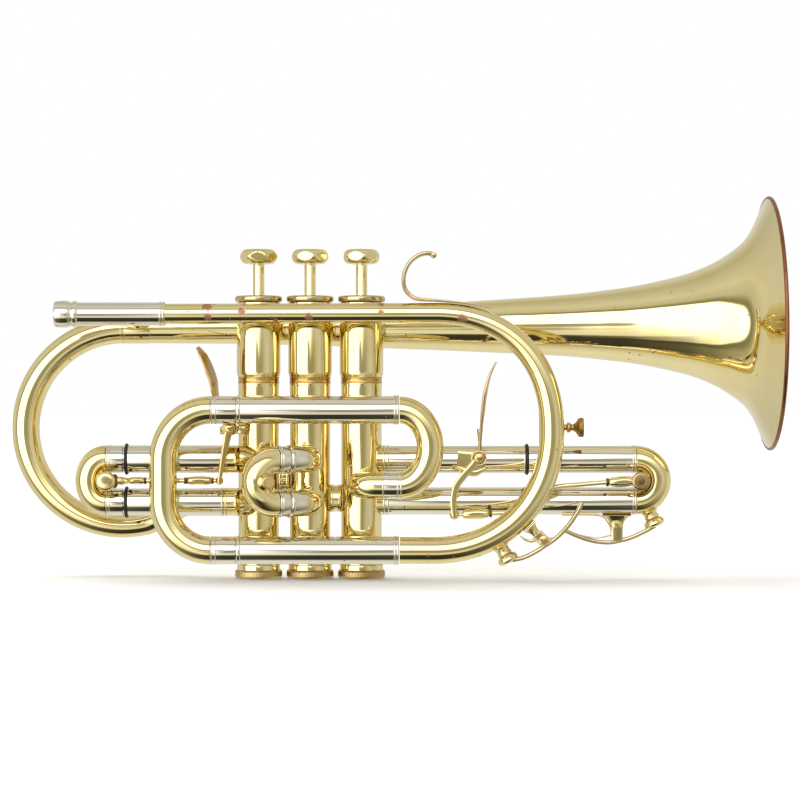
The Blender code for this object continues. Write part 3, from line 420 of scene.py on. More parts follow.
def turned(profile, centre, axis=X_AXIS, sides=TUBE_SIDES, soft=0.25, shape=None):
    """A lathe's shape whose profile's corners are turned into small curves, soft millimetres long."""
    points = [Vector(point) for point in profile]
    count = len(points)
    ends_on_axis = points[0].x == 0
    softened = []
    for index, point in enumerate(points):
        if ends_on_axis and index in (0, count - 1):
            softened.append(point)
            continue
        before, after = points[index - 1], points[(index + 1) % count]
        cut = min(soft, 0.4 * (before - point).length, 0.4 * (after - point).length)
        start = point + (before - point).normalized() * cut
        end = point + (after - point).normalized() * cut
        for t in (0.0, 0.33, 0.67, 1.0):
            softened.append(start * (1 - t) ** 2 + point * (2 * t * (1 - t)) + end * t**2)
    outline = [(0 if point.x < 1e-6 else point.x, point.y) for point in softened]
    return lathe(outline, centre, axis, sides, shape)


def section_sweep(path, sections, across=Y_AXIS, ends=(None, None), bores=None):
    """A body drawn along a path; each of sections lists its outline's (across, up) points there.

    Its ends are cut square to the path, or square to the directions that ends gives. bores, where given,
    lists inner outlines that hollow it.
    """
    bm = bmesh.new()
    points = [Vector(point) for point in path]
    last = len(points) - 1
    rings, inner = [], []
    for index, point in enumerate(points):
        before = points[max(index - 1, 0)]
        after = points[min(index + 1, last)]
        along = (after - before).normalized()
        if index == 0 and ends[0]:
            along = ends[0]
        if index == last and ends[1]:
            along = ends[1]
        across = (across - along * across.dot(along)).normalized()
        up = along.cross(across)
        rings.append([bm.verts.new(point + across * a + up * b) for a, b in sections[index]])
        if bores:
            inner.append([bm.verts.new(point + across * a + up * b) for a, b in bores[index]])
    pairs = list(zip(rings, rings[1:])) + list(zip(inner, inner[1:]))
    if bores:
        pairs += [(rings[0], inner[0]), (rings[-1], inner[-1])]
    else:
        bm.faces.new(rings[0])
        bm.faces.new(rings[-1])
    for first, second in pairs:
        for side in range(len(first)):
            after = (side + 1) % len(first)
            bm.faces.new((first[side], first[after], second[after], second[side]))
    return bm


def circle(radius, sides):
    turns = [math.tau * side / sides for side in range(sides)]
    return [(radius * math.cos(angle), radius * math.sin(angle)) for angle in turns]


def tube(path, radius, sides=TUBE_SIDES, ends=(None, None), wall=None):
    """A rod, or a pipe where the thickness of its wall is given."""
    radii = radius if isinstance(radius, (list, tuple)) else [radius] * len(path)
    bores = [circle(r - wall, sides) for r in radii] if wall else None
    return section_sweep(path, [circle(r, sides) for r in radii], ends=ends, bores=bores)


def bar_outline(width, thickness, sides=24, squareness=3.5):
    """A rounded bar's outline: a superellipse."""
    outline = []
    for side in range(sides):
        angle = math.tau * side / sides
        a, b = math.cos(angle), math.sin(angle)
        outline.append((
            math.copysign(abs(a) ** (2 / squareness), a) * width / 2,
            math.copysign(abs(b) ** (2 / squareness), b) * thickness / 2,
        ))
    return outline


def block(start, end, *outline):
    """A straight bar between two points, with the outline that bar_outline makes."""
    return section_sweep((start, end), [bar_outline(*outline)] * 2)


def bar(guides, y, width, thickness, twist=0.0, steps=6):
    """A bent flat bar in an XZ plane through smooth guide points.

    width and thickness are single values or one per guide; twist turns the section, in degrees.
    """
    path = smooth([(x, y, z) for x, z in guides], steps)
    widths = spread(width, len(guides), steps)
    thicknesses = spread(thickness, len(guides), steps)
    across, up = math.cos(math.radians(twist)), math.sin(math.radians(twist))
    sections = []
    for w, t in zip(widths, thicknesses):
        sections.append([(a * across - b * up, a * up + b * across) for a, b in bar_outline(w, t)])
    return section_sweep(path, sections)


def spread(value, count, steps):
    """One value for each point that smooth() makes."""
    values = value if isinstance(value, (list, tuple)) else [value] * count
    spaced = []
    for first, second in zip(values, values[1:]):
        spaced += [first + (second - first) * step / steps for step in range(steps)]
    return spaced + [values[-1]]


def smooth(points, steps):
    """Points on a smooth curve through the given ones."""
    guides = [Vector(point) for point in points]
    guides = [guides[0] * 2 - guides[1]] + guides + [guides[-1] * 2 - guides[-2]]
    curve = []
    for a, b, c, d in zip(guides, guides[1:], guides[2:], guides[3:]):
        bend, twist = 2 * a - 5 * b + 4 * c - d, 3 * b - a - 3 * c + d
        for step in range(steps):
            t = step / steps
            curve.append(0.5 * (2 * b + (c - a) * t + bend * t**2 + twist * t**3))
    curve.append(guides[-2])
    return curve


def arc(centre, radius, start, end, y, steps=36):
    """Points on a circle or an oval in an XZ plane; its angles are in degrees from +X towards +Z."""
    reach, rise = radius if isinstance(radius, tuple) else (radius, radius)
    points = []
    for step in range(steps + 1):
        angle = math.radians(start + (end - start) * step / steps)
        points.append(Vector((centre[0] + reach * math.cos(angle), y, centre[1] + rise * math.sin(angle))))
    return points


def elbow(corner, before, after, bend, steps=16):
    """Points on a round bend at a corner, from the direction before to the direction after."""
    turn = before.angle(after)
    start = corner - before * bend * math.tan(turn / 2)
    inward = (after - before * before.dot(after)).normalized()
    centre = start + inward * bend
    return [
        centre - inward * bend * math.cos(turn * s / steps) + before * bend * math.sin(turn * s / steps)
        for s in range(steps + 1)
    ]


def ball(centre, radius):
    profile = [(0, -radius)]
    for row in range(1, 16):
        angle = math.pi * row / 16
        profile.append((radius * math.sin(angle), -radius * math.cos(angle)))
    profile.append((0, radius))
    return lathe(profile, centre, Y_AXIS, 32)


def bead_profile(radius, middle_at, width, height):
    profile = [(radius - 0.4, middle_at - width / 2)]
    for step in range(9):
        angle = math.pi * step / 8
        profile.append((radius + height * math.sin(angle), middle_at - width / 2 * math.cos(angle)))
    profile.append((radius - 0.4, middle_at + width / 2))
    return profile


def bead(x, y, z, radius, width=1.2, height=BEAD_HEIGHT, axis=X_AXIS, sides=48):
    """A raised half-round ring on a tube."""
    return lathe(bead_profile(radius, 0.0, width, height), (x, y, z), axis, sides)


def coil(centre, radius, length, turns, wire, leads=()):
    """A wire wound about an axis along Y; leads are the points that its end goes on through."""
    path = []
    steps = int(turns * 20)
    for step in range(steps + 1):
        angle = math.tau * turns * step / steps
        y = centre[1] + length * (step / steps - 0.5)
        path.append((centre[0] + radius * math.cos(angle), y, centre[2] + radius * math.sin(angle)))
    return tube(path + list(leads), wire, 10)


# ---------------------------------------------------------------- pieces

def put_in_scene(name, data):
    made = bpy.data.objects.new(name, data)
    bpy.context.scene.collection.objects.link(made)
    return made


def make_piece(name, parts, body, replaced=()):
    """Joins parts, each (mesh, material name), into one piece that rides on a body."""
    joined = bmesh.new()
    used = []
    for bm, material in parts:
        if material not in used:
            used.append(material)
        bmesh.ops.recalc_face_normals(bm, faces=bm.faces)
        for face in bm.faces:
            face.material_index = used.index(material)
        part = bpy.data.meshes.new("part")
        bm.to_mesh(part)
        bm.free()
        joined.from_mesh(part)
        bpy.data.meshes.remove(part)
    bmesh.ops.scale(joined, vec=(MM, MM, MM), verts=joined.verts)
    mesh = bpy.data.meshes.new(name)
    joined.to_mesh(mesh)
    joined.free()
    mesh.shade_smooth()
    mesh.set_sharp_from_angle(angle=math.radians(32))
    for material in used:
        mesh.materials.append(MATERIALS[material])
    piece = put_in_scene(name, mesh)
    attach(piece, body)
    if replaced:
        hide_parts(*replaced)
    return piece


def stand_for(node, parts):
    """A finished piece in place of one CAD node."""
    return make_piece(f"{node}_finished", parts, body_with(node), (node,))


# ---------------------------------------------------------------- valves

def knurl_between(low, high, depth=0.1):
    """Fine straight ribs on the part of a shape that lies between two heights."""
    return lambda angle, side, radius, along: radius - depth * (side % 2) if low < along < high else radius


def hexagon(flat, turn=0.0):
    """Cuts six flats into a turned shape, each that far from the axis, and turns them by an angle."""
    def cut(angle, side, radius, along):
        from_flat = (angle - turn + math.pi / 6) % (math.pi / 3) - math.pi / 6
        return min(radius, flat / math.cos(from_flat))

    return cut


def casing(number, x):
    low, high = limits(f"valve_{number}_casing")
    band_low, band_high = BAND_Z
    upper = (
        (9.55, band_high), (9.72, band_high + 0.5), (9.98, band_high + 1.1),
        (BALUSTER_RADIUS, band_high + 2.1), (BALUSTER_RADIUS, high.z), (9.4, high.z), (9.4, band_high),
    )
    band = (
        (9.62, band_low), (9.68, band_low + 0.4), (9.5, band_low + 0.8), (9.48, band_high - 0.7),
        (9.66, band_high - 0.3), (9.6, band_high), (9.0, band_high), (9.0, band_low),
    )
    lower = (
        (9.62, band_low), (9.58, band_low - 0.6), (CASING_RADIUS, band_low - 1.8), (CASING_RADIUS, low.z),
        (8.6, low.z), (8.6, band_low),
    )
    parts = []
    for profile, soft, material in ((upper, 0.4, "brass"), (band, 0.15, "band"), (lower, 0.3, "brass")):
        parts.append((turned(profile, (x, 0, 0), Z_AXIS, BARREL_SIDES, soft), material))
    stand_for(f"valve_{number}_casing", parts)


def bottom_cap(number, x):
    rim = (
        (0, 0), (10.3, 0), (CAP_RADIUS, 0.7), (CAP_RADIUS, 3.1), (10.4, 3.8), (9.9, 3.9), (9.9, 1.5),
        (0, 1.5),
    )
    collar = ring_profile(9.78, 10.05, 2.0, 6.2)
    stand_for(f"valve_{number}_bottom_cap", [
        (turned(rim, (x, 0, 0), Z_AXIS, KNURL_SIDES, shape=knurl_between(0.5, 3.3)), "cap"),
        (turned(collar, (x, 0, 0), Z_AXIS, BARREL_SIDES, 0.15), "brass"),
    ])


def top_cap(number, x):
    low, high = limits(f"valve_{number}_top_cap")
    top = high.z
    profile = (
        (3.1, top - 0.1), (8.2, top), (10.3, top - 0.1), (CAP_RADIUS, top - 0.7), (CAP_RADIUS, top - 2.3),
        (10.5, top - 2.85), (9.0, top - 2.9), (9.0, low.z), (7.6, low.z), (7.6, top - 4), (3.1, top - 4),
    )
    knurl = knurl_between(top - 2.4, top - 0.6, 0.05)
    mesh = turned(profile, (x, 0, 0), Z_AXIS, KNURL_SIDES, 0.3, knurl)
    stand_for(f"valve_{number}_top_cap", [(mesh, "hook")])


def piston(number, x):
    low, high = limits(f"piston_{number}")
    shoulder = 84.0
    barrel = (
        (0, shoulder - 1.5), (7.5, shoulder - 1.5), (7.5, low.z), (8.25, low.z), (8.25, shoulder),
        (0, shoulder),
    )
    stem = (
        (0, shoulder), (STEM_RADIUS, shoulder), (STEM_RADIUS, SPRING_COLLAR_Z), (9.0, SPRING_COLLAR_Z),
        (9.0, SPRING_COLLAR_Z + 1.5), (STEM_RADIUS, SPRING_COLLAR_Z + 1.5), (STEM_RADIUS, high.z),
        (0, high.z),
    )
    stand_for(f"piston_{number}", [
        (turned(barrel, (x, 0, 0), Z_AXIS, BARREL_SIDES), "nickel"),
        (turned(stem, (x, 0, 0), Z_AXIS, 48), "brass"),
    ])


def finger_button(number, x, turn):
    """A lens-shaped disc with six flat facets ground into its edge, and a shallow dish on top."""
    low, high = limits(f"finger_button_{number}")
    half = (high.z - low.z) / 2
    edge = (
        (5.6, -1.0), (6.8, -0.92), (7.9, -0.6), (8.5, -0.25), (8.7, 0.0), (8.55, 0.25), (7.9, 0.62),
        (7.0, 0.9), (6.3, 1.0),
    )
    curve = smooth([(radius, 0, half * share_of_half) for radius, share_of_half in edge], 4)
    profile = [(0, -half)] + [(point.x, point.z) for point in curve]
    profile += [(4.6, half), (4.2, half - 0.25), (0, half - 0.25)]
    mesh = lathe(profile, (x, 0, low.z + half), Z_AXIS, 180, hexagon(BUTTON_FACET, math.radians(turn)))
    stand_for(f"finger_button_{number}", [(mesh, "brass")])


def valve_spring(number, x):
    """The coil under the stem's collar, built at one length."""
    node, joint = f"valve_spring_{number}", f"valve_{number}_press"
    low, high = limits(node)
    radius = (high.y - low.y) / 2 - SPRING_WIRE
    foot = low.z + SPRING_WIRE
    rise = high.z - SPRING_WIRE - foot
    steps = SPRING_TURNS * 24
    path = []
    for step in range(steps + 1):
        angle = math.tau * SPRING_TURNS * step / steps
        path.append((x + radius * math.cos(angle), radius * math.sin(angle), foot + rise * step / steps))
    spring = stand_for(node, [(tube(path, SPRING_WIRE, 12), "steel")])
    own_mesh(spring)


def valves():
    for number, (x, turn) in enumerate(zip(VALVE_XS, BUTTON_TURNS), start=1):
        casing(number, x)
        bottom_cap(number, x)
        top_cap(number, x)
        valve_spring(number, x)
        piston(number, x)
        finger_button(number, x, turn)


def crossovers():
    for node in ("crossover_1_2", "crossover_2_3"):
        low, high = limits(node)
        _, y, z = middle(node)
        radius = (high.z - low.z) / 2
        parts = [(lathe(ring_profile(radius - 0.6, radius, low.x + 0.8, high.x - 0.8), (0, y, z)), "brass")]
        for x in (low.x + 0.5, high.x - 0.5):
            parts.append((bead(x, y, z, radius, 1.4, 0.4), "brass"))
        stand_for(node, parts)


# ---------------------------------------------------------------- leadpipe and its receiver

def front_bow(steps=96):
    """The front bow's centre line, from its top to its bottom."""
    y = middle("leadpipe").y
    points = []
    for step in range(steps + 1):
        angle = math.pi * (0.5 - step / steps)
        power = 2 / FRONT_BOW_SQUARENESS[0 if step < steps / 2 else 1]
        reach = abs(math.cos(angle)) ** power
        height = math.copysign(abs(math.sin(angle)) ** power, math.sin(angle))
        x = FRONT_BOW_CENTRE[0] + FRONT_BOW_SIZE * reach
        points.append(Vector((x, y, FRONT_BOW_CENTRE[1] + FRONT_BOW_SIZE * height)))
    return points


def leadpipe():
    bow = front_bow()
    low, _ = limits("leadpipe")
    start = Vector((low.x, bow[0].y, middle("mouthpiece_receiver").z))
    end = Vector((limits("tuning_sleeve_lower")[1].x + 0.3, bow[-1].y, bow[-1].z))
    growth = FRONT_BOW_END_RADIUS - LEADPIPE_RADIUS
    radii = [LEADPIPE_RADIUS]
    radii += [LEADPIPE_RADIUS + growth * min(1.0, step / (0.8 * len(bow))) for step in range(len(bow))]
    radii += [FRONT_BOW_END_RADIUS]
    stand_for("leadpipe", [(tube([start] + bow + [end], radii, 56), "pipe")])


def receiver():
    start, end = [corner.x for corner in limits("mouthpiece_receiver")]
    _, y, z = middle("mouthpiece_receiver")
    profile = (
        (4.95, start), (5.5, start), (6.0, start + 0.9), (6.2, start + 3.0), (6.2, start + 5.4),
        (5.9, start + 6.8), (5.45, start + 7.6), (5.45, start + 8.2), (6.0, start + 8.6), (6.1, start + 9.4),
        (6.0, start + 10.2), (5.38, start + 10.7), (5.38, end - 2.6), (5.38, end), (5.05, end), (5.05, -78.0),
        (4.4, -79.0),
    )
    parts = [(turned(profile, (0, y, z), sides=BARREL_SIDES, soft=0.5), "nickel")]
    for offset, height in ((2.1, 0.5), (0.7, 0.4)):
        parts.append((bead(end - offset, y, z, 5.35, 1.1, height), "nickel"))
    stand_for("mouthpiece_receiver", parts)


# ---------------------------------------------------------------- slide tubing

def sleeve(node, beads, span=None):
    """An outer slide tube; each of beads is (place, width), and span its ends along X if not the CAD's."""
    low, high = limits(node)
    _, y, z = middle(node)
    start, end = span or (low.x, high.x)
    radius = SLEEVE_RADIUS - 0.05
    parts = [(turned(ring_profile(SLEEVE_BORE, radius, start, end), (0, y, z), soft=0.12), "nickel")]
    for x, width in beads:
        parts.append((bead(x, y, z, radius, width), "nickel"))
    stand_for(node, parts)


def leg(node, ferrule, lines):
    """An inner slide tube and its ferrule; lines are the places of the ferrule's thin rings."""
    low, high = limits(node)
    _, y, z = middle(node)
    bow_side, mouth_side = ferrule
    end = high.x if bow_side < mouth_side else low.x
    radius = SLEEVE_RADIUS - 0.05
    profile = (
        (radius, bow_side), (radius, mouth_side), (LEG_RADIUS, mouth_side), (LEG_RADIUS, end),
        (LEG_BORE, end), (LEG_BORE, bow_side),
    )
    parts = [(turned(profile, (0, y, z), soft=0.15), "nickel")]
    for x in lines:
        parts.append((bead(x, y, z, radius, 0.7, 0.28), "nickel"))
    stand_for(node, parts)


def u_bow(start_x, towards, z_pair, y, reach):
    """A slide's U, which bulges towards -X or +X by its reach."""
    centre = (start_x, sum(z_pair) / 2)
    points = arc(centre, (reach, (z_pair[0] - z_pair[1]) / 2), 90, 90 - 180 * towards, y)
    return tube(points, TUBE_RADIUS, ends=(X_AXIS * towards, X_AXIS * -towards))


def tuning_slide():
    sleeve_start = limits("tuning_sleeve_upper")[0].x - 1.2
    sleeve_end = limits("tuning_sleeve_upper")[1].x
    joint = limits("tuning_leg_upper")[0].x - 1.2
    beads = ((sleeve_start + 0.95, 1.9), (sleeve_end - 1.85, 1.1), (sleeve_end - 0.55, 1.1))
    for place in ("upper", "lower"):
        sleeve(f"tuning_sleeve_{place}", beads, (sleeve_start, sleeve_end))
        leg(f"tuning_leg_{place}", (joint, sleeve_start - 0.3), (joint + 0.4, joint + 2.1))
    _, y, top = middle("tuning_leg_upper")
    bottom = middle("tuning_leg_lower").z
    x = joint - 0.3
    bend = (x - TUBE_RADIUS - limits("tuning_bow")[0].x, 23.0)
    points = arc((x, top - bend[1]), bend, 90, 180, y) + arc((x, bottom + bend[1]), bend, 180, 270, y)
    stand_for("tuning_bow", [(tube(points, TUBE_RADIUS, 56, (-X_AXIS, X_AXIS)), "brass")])


def return_bow():
    """The bow that brings the air back from the tuning slide into the third casing."""
    _, y, top = middle("tuning_sleeve_upper")
    start_x = limits("tuning_sleeve_upper")[1].x + 0.3
    half = (top - RETURN_BOW_Z) / 2
    reach = limits("return_bow")[1].x - start_x - RETURN_BOW_RADIUS
    path = arc((start_x, RETURN_BOW_Z + half), (reach, half), 90, -90, y, 48)
    path += elbow(Vector((VALVE_XS[2], y, RETURN_BOW_Z)), -X_AXIS, Y_AXIS, 6.8)
    path.append(Vector((VALVE_XS[2], -9.0, RETURN_BOW_Z)))
    ferrule = ring_profile(5.8, 6.3, 33.9, 42.6)
    parts = [
        (tube(path, RETURN_BOW_RADIUS, 56, (X_AXIS, None)), "brass"),
        (turned(ferrule, (0, y, RETURN_BOW_Z), soft=0.1), "nickel"),
    ]
    for x in (34.2, 40.9, 42.4):
        parts.append((bead(x, y, RETURN_BOW_Z, 6.25, 0.8, 0.35), "nickel"))
    stand_for("return_bow", parts)


# ---------------------------------------------------------------- bell and rear bow

def bell():
    """The bell, its wired rim, the seam round its throat and the ferrule on its tail."""
    outer = [(point.y, point.x) for point in smooth([(x, radius, 0) for x, radius in BELL_STATIONS], 8)]
    inner = [(radius - BELL_WALL, x + 0.6 * BELL_WALL) for radius, x in reversed(outer[8:-4])]
    inner.append((BELL_STATIONS[0][1] - BELL_WALL, BELL_STATIONS[0][0]))
    tip = [(59.35, 216.7), (58.7, 216.8)]
    y = middle("bell").y
    axis = Vector((1, 0, BELL_SLOPE)).normalized()
    centre = (0, y, BELL_TAIL_Z - BELL_SLOPE * BELL_STATIONS[0][0])
    rim_x = limits("bell")[1].x - 1.0
    wire = [(59.4 + across, rim_x + along) for across, along in circle(RIM_WIRE_RADIUS, 14)]
    ferrule = ((6.3, -88.9), (6.5, -88.7), (6.62, -76.4), (6.45, -76.2))
    seam_z = centre[2] + BELL_SLOPE * BELL_SEAM_X
    stand_for("bell", [
        (lathe(outer + tip + inner, centre, axis, BELL_SIDES), "bell"),
        (lathe(wire, centre, axis, BELL_SIDES), "rim"),
        (turned(ferrule, centre, axis, BARREL_SIDES, 0.15), "brass"),
        (bead(BELL_SEAM_X, y, seam_z, 19.35, 0.35, 0.07, axis, BELL_SIDES), "band"),
    ])


def bell_bow():
    y = middle("bell").y
    path = arc(REAR_BOW_CENTRE, REAR_BOW_SIZE, 90, 284, y, 96) + smooth(REAR_BOW_TAIL, 10)
    radii = []
    for index in range(len(path)):
        shrink = min(1.0, max(0.0, (index / len(path) - 0.36) / 0.3))
        radii.append(6.45 - 0.75 * shrink)
    parts = [(tube(path, radii, 56, (-X_AXIS, X_AXIS), wall=BELL_WALL), "brass")]
    for x in (-90.2, -88.8):
        parts.append((bead(x, y, REAR_BOW_CENTRE[1] + REAR_BOW_SIZE, 6.42, 0.6, 0.22), "brass"))
    stand_for("bell_bow", parts)


def receiver_brace():
    low, _ = limits("receiver_brace")
    x = middle("receiver_brace").x
    front_z = middle("mouthpiece_receiver").z
    start = Vector((x, low.y, front_z - 0.6))
    outward = Vector((0, -0.908, 0.42))
    end = Vector((x, BELL_CENTRE_Y, BELL_TAIL_Z)) + outward * (BELL_STATIONS[0][1] + 0.2)
    axis = (end - start).normalized()
    length = (end - start).length
    profile = [(0, 0), (4.0, 0), (4.0, 0.7)]
    for step in range(9):
        t = step / 8
        profile.append((1.3 + 1.3 * abs(1 - 2 * t) ** 6, 1.0 + (length - 1.4) * t))
    profile.append((0, length))
    foot = section_sweep(
        (end + outward * 0.9, end + outward * 0.5, end),
        [bar_outline(*size, 48, 2.2) for size in ((11.6, 3.4), (13.2, 4.6), (13.4, 4.8))], across=X_AXIS,
    )
    stand_for("receiver_brace", [(turned(profile, start, axis, 48, 0.3), "brass"), (foot, "brass")])


# ---------------------------------------------------------------- first slide

def o_ring(name, x, y, z, body):
    ring = [(6.55 + across, along) for across, along in circle(0.8, 12)]
    make_piece(name, [(lathe(ring, (x, y, z), sides=56), "rubber")], body)


def knuckle(name, start_x, casing_x, y, z):
    """The brass elbow that takes a fixed sleeve round into its casing."""
    corner = Vector((casing_x - 4.4, y - 2.6, z))
    path = [Vector((start_x, y, z)), Vector((start_x + 6.0, y, z)), Vector((start_x + 8.6, y - 0.9, z))]
    path = smooth(path, 6) + elbow(corner, X_AXIS, Y_AXIS, 4.6)
    make_piece(name, [(tube(path, 6.35, 48), "brass")], "body")


def first_slide():
    sleeve_start, sleeve_end = limits("first_sleeve_upper")[0].x, FIRST_SLEEVE_END
    leg_start = limits("first_leg_upper")[0].x
    ferrule = (leg_start - 2.2, leg_start + 5.6)
    for place in ("upper", "lower"):
        node = f"first_sleeve_{place}"
        sleeve(node, ((sleeve_end - 0.6, 0.9),), (sleeve_start, sleeve_end))
        leg(f"first_leg_{place}", ferrule, (ferrule[0] + 0.5, ferrule[0] + 1.6))
        _, y, z = middle(node)
        o_ring(f"first_o_ring_{place}", (ferrule[1] + sleeve_start) / 2 + 0.4, y, z, "first_slide")
        knuckle(f"first_knuckle_{place}", sleeve_end + 0.1, VALVE_XS[0], y, z)
        ring = bead(sleeve_end + 1.2, y, z, 6.32, 0.9, 0.35)
        make_piece(f"first_knuckle_ring_{place}", [(ring, "brass")], "body")
    z_pair = (middle("first_leg_upper").z, middle("first_leg_lower").z)
    y = middle("first_leg_upper").y
    start_x = ferrule[0] - 0.3
    bow = u_bow(start_x, -1, z_pair, y, start_x - TUBE_RADIUS - limits("first_bow")[0].x)
    knob = (
        (0, -4.4), (3.3, -4.3), (4.3, -3.7), (4.6, -2.4), (4.5, -0.6), (3.9, 0.8), (2.6, 1.9), (2.0, 4.0),
        (2.2, 8.6), (0, 8.6),
    )
    # The knob's neck takes the dark material: painted shade in the groove behind the knob.
    neck = ((0, 3.4), (3.3, 3.4), (3.4, 4.2), (2.3, 5.2), (0, 5.2))
    centre = Vector((*FIRST_KNOB, sum(z_pair) / 2))
    bridge_x = centre.x - 0.8
    stand_for("first_bow", [
        (bow, "brass"),
        (turned(knob, centre, Y_AXIS, 48, 0.6), "brass"),
        (turned(neck, centre, X_AXIS, 36, 0.3), "dark"),
        (block((bridge_x, y, centre.z - 4.6), (bridge_x, y, centre.z + 4.6), 2.2, 3.4, 24, 5), "brass"),
    ])


def hexagon_barrel(start, end, radius):
    """A link's turnbuckle: a six-sided barrel with round tapered ends."""
    start, end = Vector(start), Vector(end)
    length = (end - start).length
    profile = [(0, 0)]
    for step in range(21):
        t = step / 20
        profile.append((radius * (0.55 + 0.45 * math.sin(math.pi * t) ** 0.35), length * t))
    profile.append((0, length))
    return lathe(profile, start, (end - start).normalized(), 72, hexagon(0.93 * radius))


def nut(centre, radius, length):
    """A small six-sided nut on a rod that runs along X."""
    return turned(ring_profile(0, radius, -length / 2, length / 2), centre, X_AXIS, 6, 0.2)


def first_link():
    low, _ = limits("first_link")
    y, z = FIRST_LINK_Y, middle("first_link").z
    route = (
        (low.x + 0.1, -14.4, z), (-86.6, -14.1, z), (-84.4, y - 1.2, z), (-82.4, y, z), (-78.0, y, z),
        (-55.6, y, z),
    )
    taper = spread([2.0, 1.9, 1.4, 1.2, 1.1, 1.1], len(route), 8)
    rod = section_sweep(smooth(route, 8), [circle(radius, 20) for radius in taper])
    stand_for("first_link", [
        (rod, "brass"),
        (hexagon_barrel((-83.0, y, z), (-76.0, y, z), 1.75), "aged"),
        (nut((-75.7, y, z), 1.8, 0.9), "dark"),
        (nut((-57.2, y, z), 1.8, 1.0), "dark"),
        (hexagon_barrel((-56.7, y, z), (-45.0, y, z), 2.05), "aged"),
        (nut((-44.6, y, z), 1.7, 0.9), "dark"),
        (tube(((-46, y, z), (-42, y, z)), 0.9, 16), "brass"),
        (ball((-41.5, y, z), 1.85), "aged"),
    ])


def slotted_screw(centre, radius):
    """A slotted screw head that faces the player's right."""
    x, y, z = centre
    head = turned(((0, 0), (radius, 0), (radius, 0.9), (0, 1.1)), centre, -Y_AXIS, 36, 0.3)
    reach = 0.75 * radius
    # The slot is a thin dark bar on the head's face: painted shade standing in for the cut groove.
    slot = block((x - reach, y - 1.0, z - 0.5), (x + reach, y - 1.0, z + 0.5), 0.35, 0.35, 12)
    return [(head, "aged"), (slot, "dark")]


def first_trigger():
    low, _ = limits("first_trigger_bracket")
    x, z = FIRST_PIVOT
    pin = ring_profile(0, 1.2, 0, -7.2 - low.y - 0.2)
    spring = coil((x, -11.2, z), 3.1, 3.6, 3.5, 0.4, ((-37.4, -9.4, 75.0), (-38.2, -9.2, 78.4)))
    stand_for("first_trigger_bracket", [
        (block((x - 4.8, -7.2, z - 1.2), (-30.6, -7.2, z - 1.0), 1.6, 3.6, 24, 6), "brass"),
        (turned(ring_profile(0, 2.3, 0, 2.4), (-31.6, -6.4, z - 0.6), -Y_AXIS, 36, 0.4), "brass"),
        (turned(pin, (x, -7.2, z), -Y_AXIS, 36, 0.2), "aged"),
        (spring, "aged"),
    ] + slotted_screw((x, low.y + 1.1, z), 2.0))
    lower = ((x - 0.2, z - 1.0), (-38.6, 61.4), (-39.8, 55.2), (-40.7, 49.4), (-41.3, 45.6), (-41.4, 44.2))
    upper = (
        (x - 0.3, z + 1.4), (-38.4, 75.0), (-41.0, 80.0), (-43.3, 84.8), (-44.5, 91.3), (-46.3, 96.8),
        (-48.9, 102.9), (-51.9, 107.3),
    )
    widths = (3.4, 4.0, 5.0, 7.0, 10.0, 11.0, 9.6, 5.0)
    thicknesses = (2.2, 1.7, 1.6, 1.5, 1.7, 1.7, 1.4, 0.8)
    stand_for("first_trigger", [
        (turned(ring_profile(1.5, 2.7, -15.2, -8.2), (x, 0, z), Y_AXIS, 40, 0.3), "aged"),
        (bar(lower, -14.65, 1.1, (3.8, 3.0, 2.3, 2.0, 1.8, 1.5)), "aged"),
        (bar(upper, -9.6, widths, thicknesses, -16.0), "worn"),
    ])


# ---------------------------------------------------------------- second slide

def second_slide():
    out = Vector((-math.cos(SECOND_SLANT), -math.sin(SECOND_SLANT), 0))
    heights = [middle(f"second_leg_{place}").z for place in ("upper", "lower")]
    start, end = SECOND_SLEEVE_END + 0.3, SECOND_BOW_START - 0.3
    leg_profile = ((6.2, end), (6.2, start), (5.5, start), (5.5, 4.6), (5.0, 4.6), (5.0, end))
    for place, z in zip(("upper", "lower"), heights):
        corner = Vector((0, SECOND_CORNER_Y, z))
        path = [Vector((0, -9.0, z))] + elbow(corner, -Y_AXIS, out, 6.7)
        path.append(corner + out * (SECOND_SLEEVE_END - 0.2))
        stand_for(f"second_sleeve_{place}", [
            (tube(path, 6.15, 48), "brass"),
            (turned(ring_profile(5.8, 6.25, 3.0, SECOND_SLEEVE_END), corner, out, soft=0.1), "nickel"),
            (lathe(bead_profile(6.25, SECOND_SLEEVE_END - 0.9, 1.7, 0.5), corner, out, 48), "nickel"),
        ])
        stand_for(f"second_leg_{place}", [
            (turned(leg_profile, corner, out, soft=0.1), "nickel"),
            (lathe(bead_profile(6.15, end - 1.5, 0.8, 0.3), corner, out, 48), "nickel"),
            (lathe(bead_profile(6.15, end - 0.4, 0.8, 0.3), corner, out, 48), "nickel"),
        ])
    base = Vector((0, SECOND_CORNER_Y, sum(heights) / 2))
    radius = (heights[0] - heights[1]) / 2
    path = [base + out * SECOND_BOW_START + Z_AXIS * radius]
    for step in range(49):
        angle = math.pi * (0.5 - step / 48)
        reach = SECOND_BOW_START + 0.2 + radius * math.cos(angle)
        path.append(base + out * reach + Z_AXIS * (radius * math.sin(angle)))
    path.append(base + out * SECOND_BOW_START - Z_AXIS * radius)
    towards = Vector((math.sin(SECOND_SLANT), -math.cos(SECOND_SLANT), 0))
    knob = (
        (0, 4.0), (4.3, 4.0), (4.2, 6.2), (3.2, 7.0), (2.5, 7.6), (2.9, 8.3), (3.2, 9.0), (3.0, 9.7),
        (2.0, 9.9), (0, 9.8),
    )
    stand_for("second_bow", [
        (section_sweep(path, [circle(6.2, 56)] * len(path), across=towards), "brass"),
        (turned(knob, base + out * 23.6, towards, 48, 0.4), "aged"),
    ])


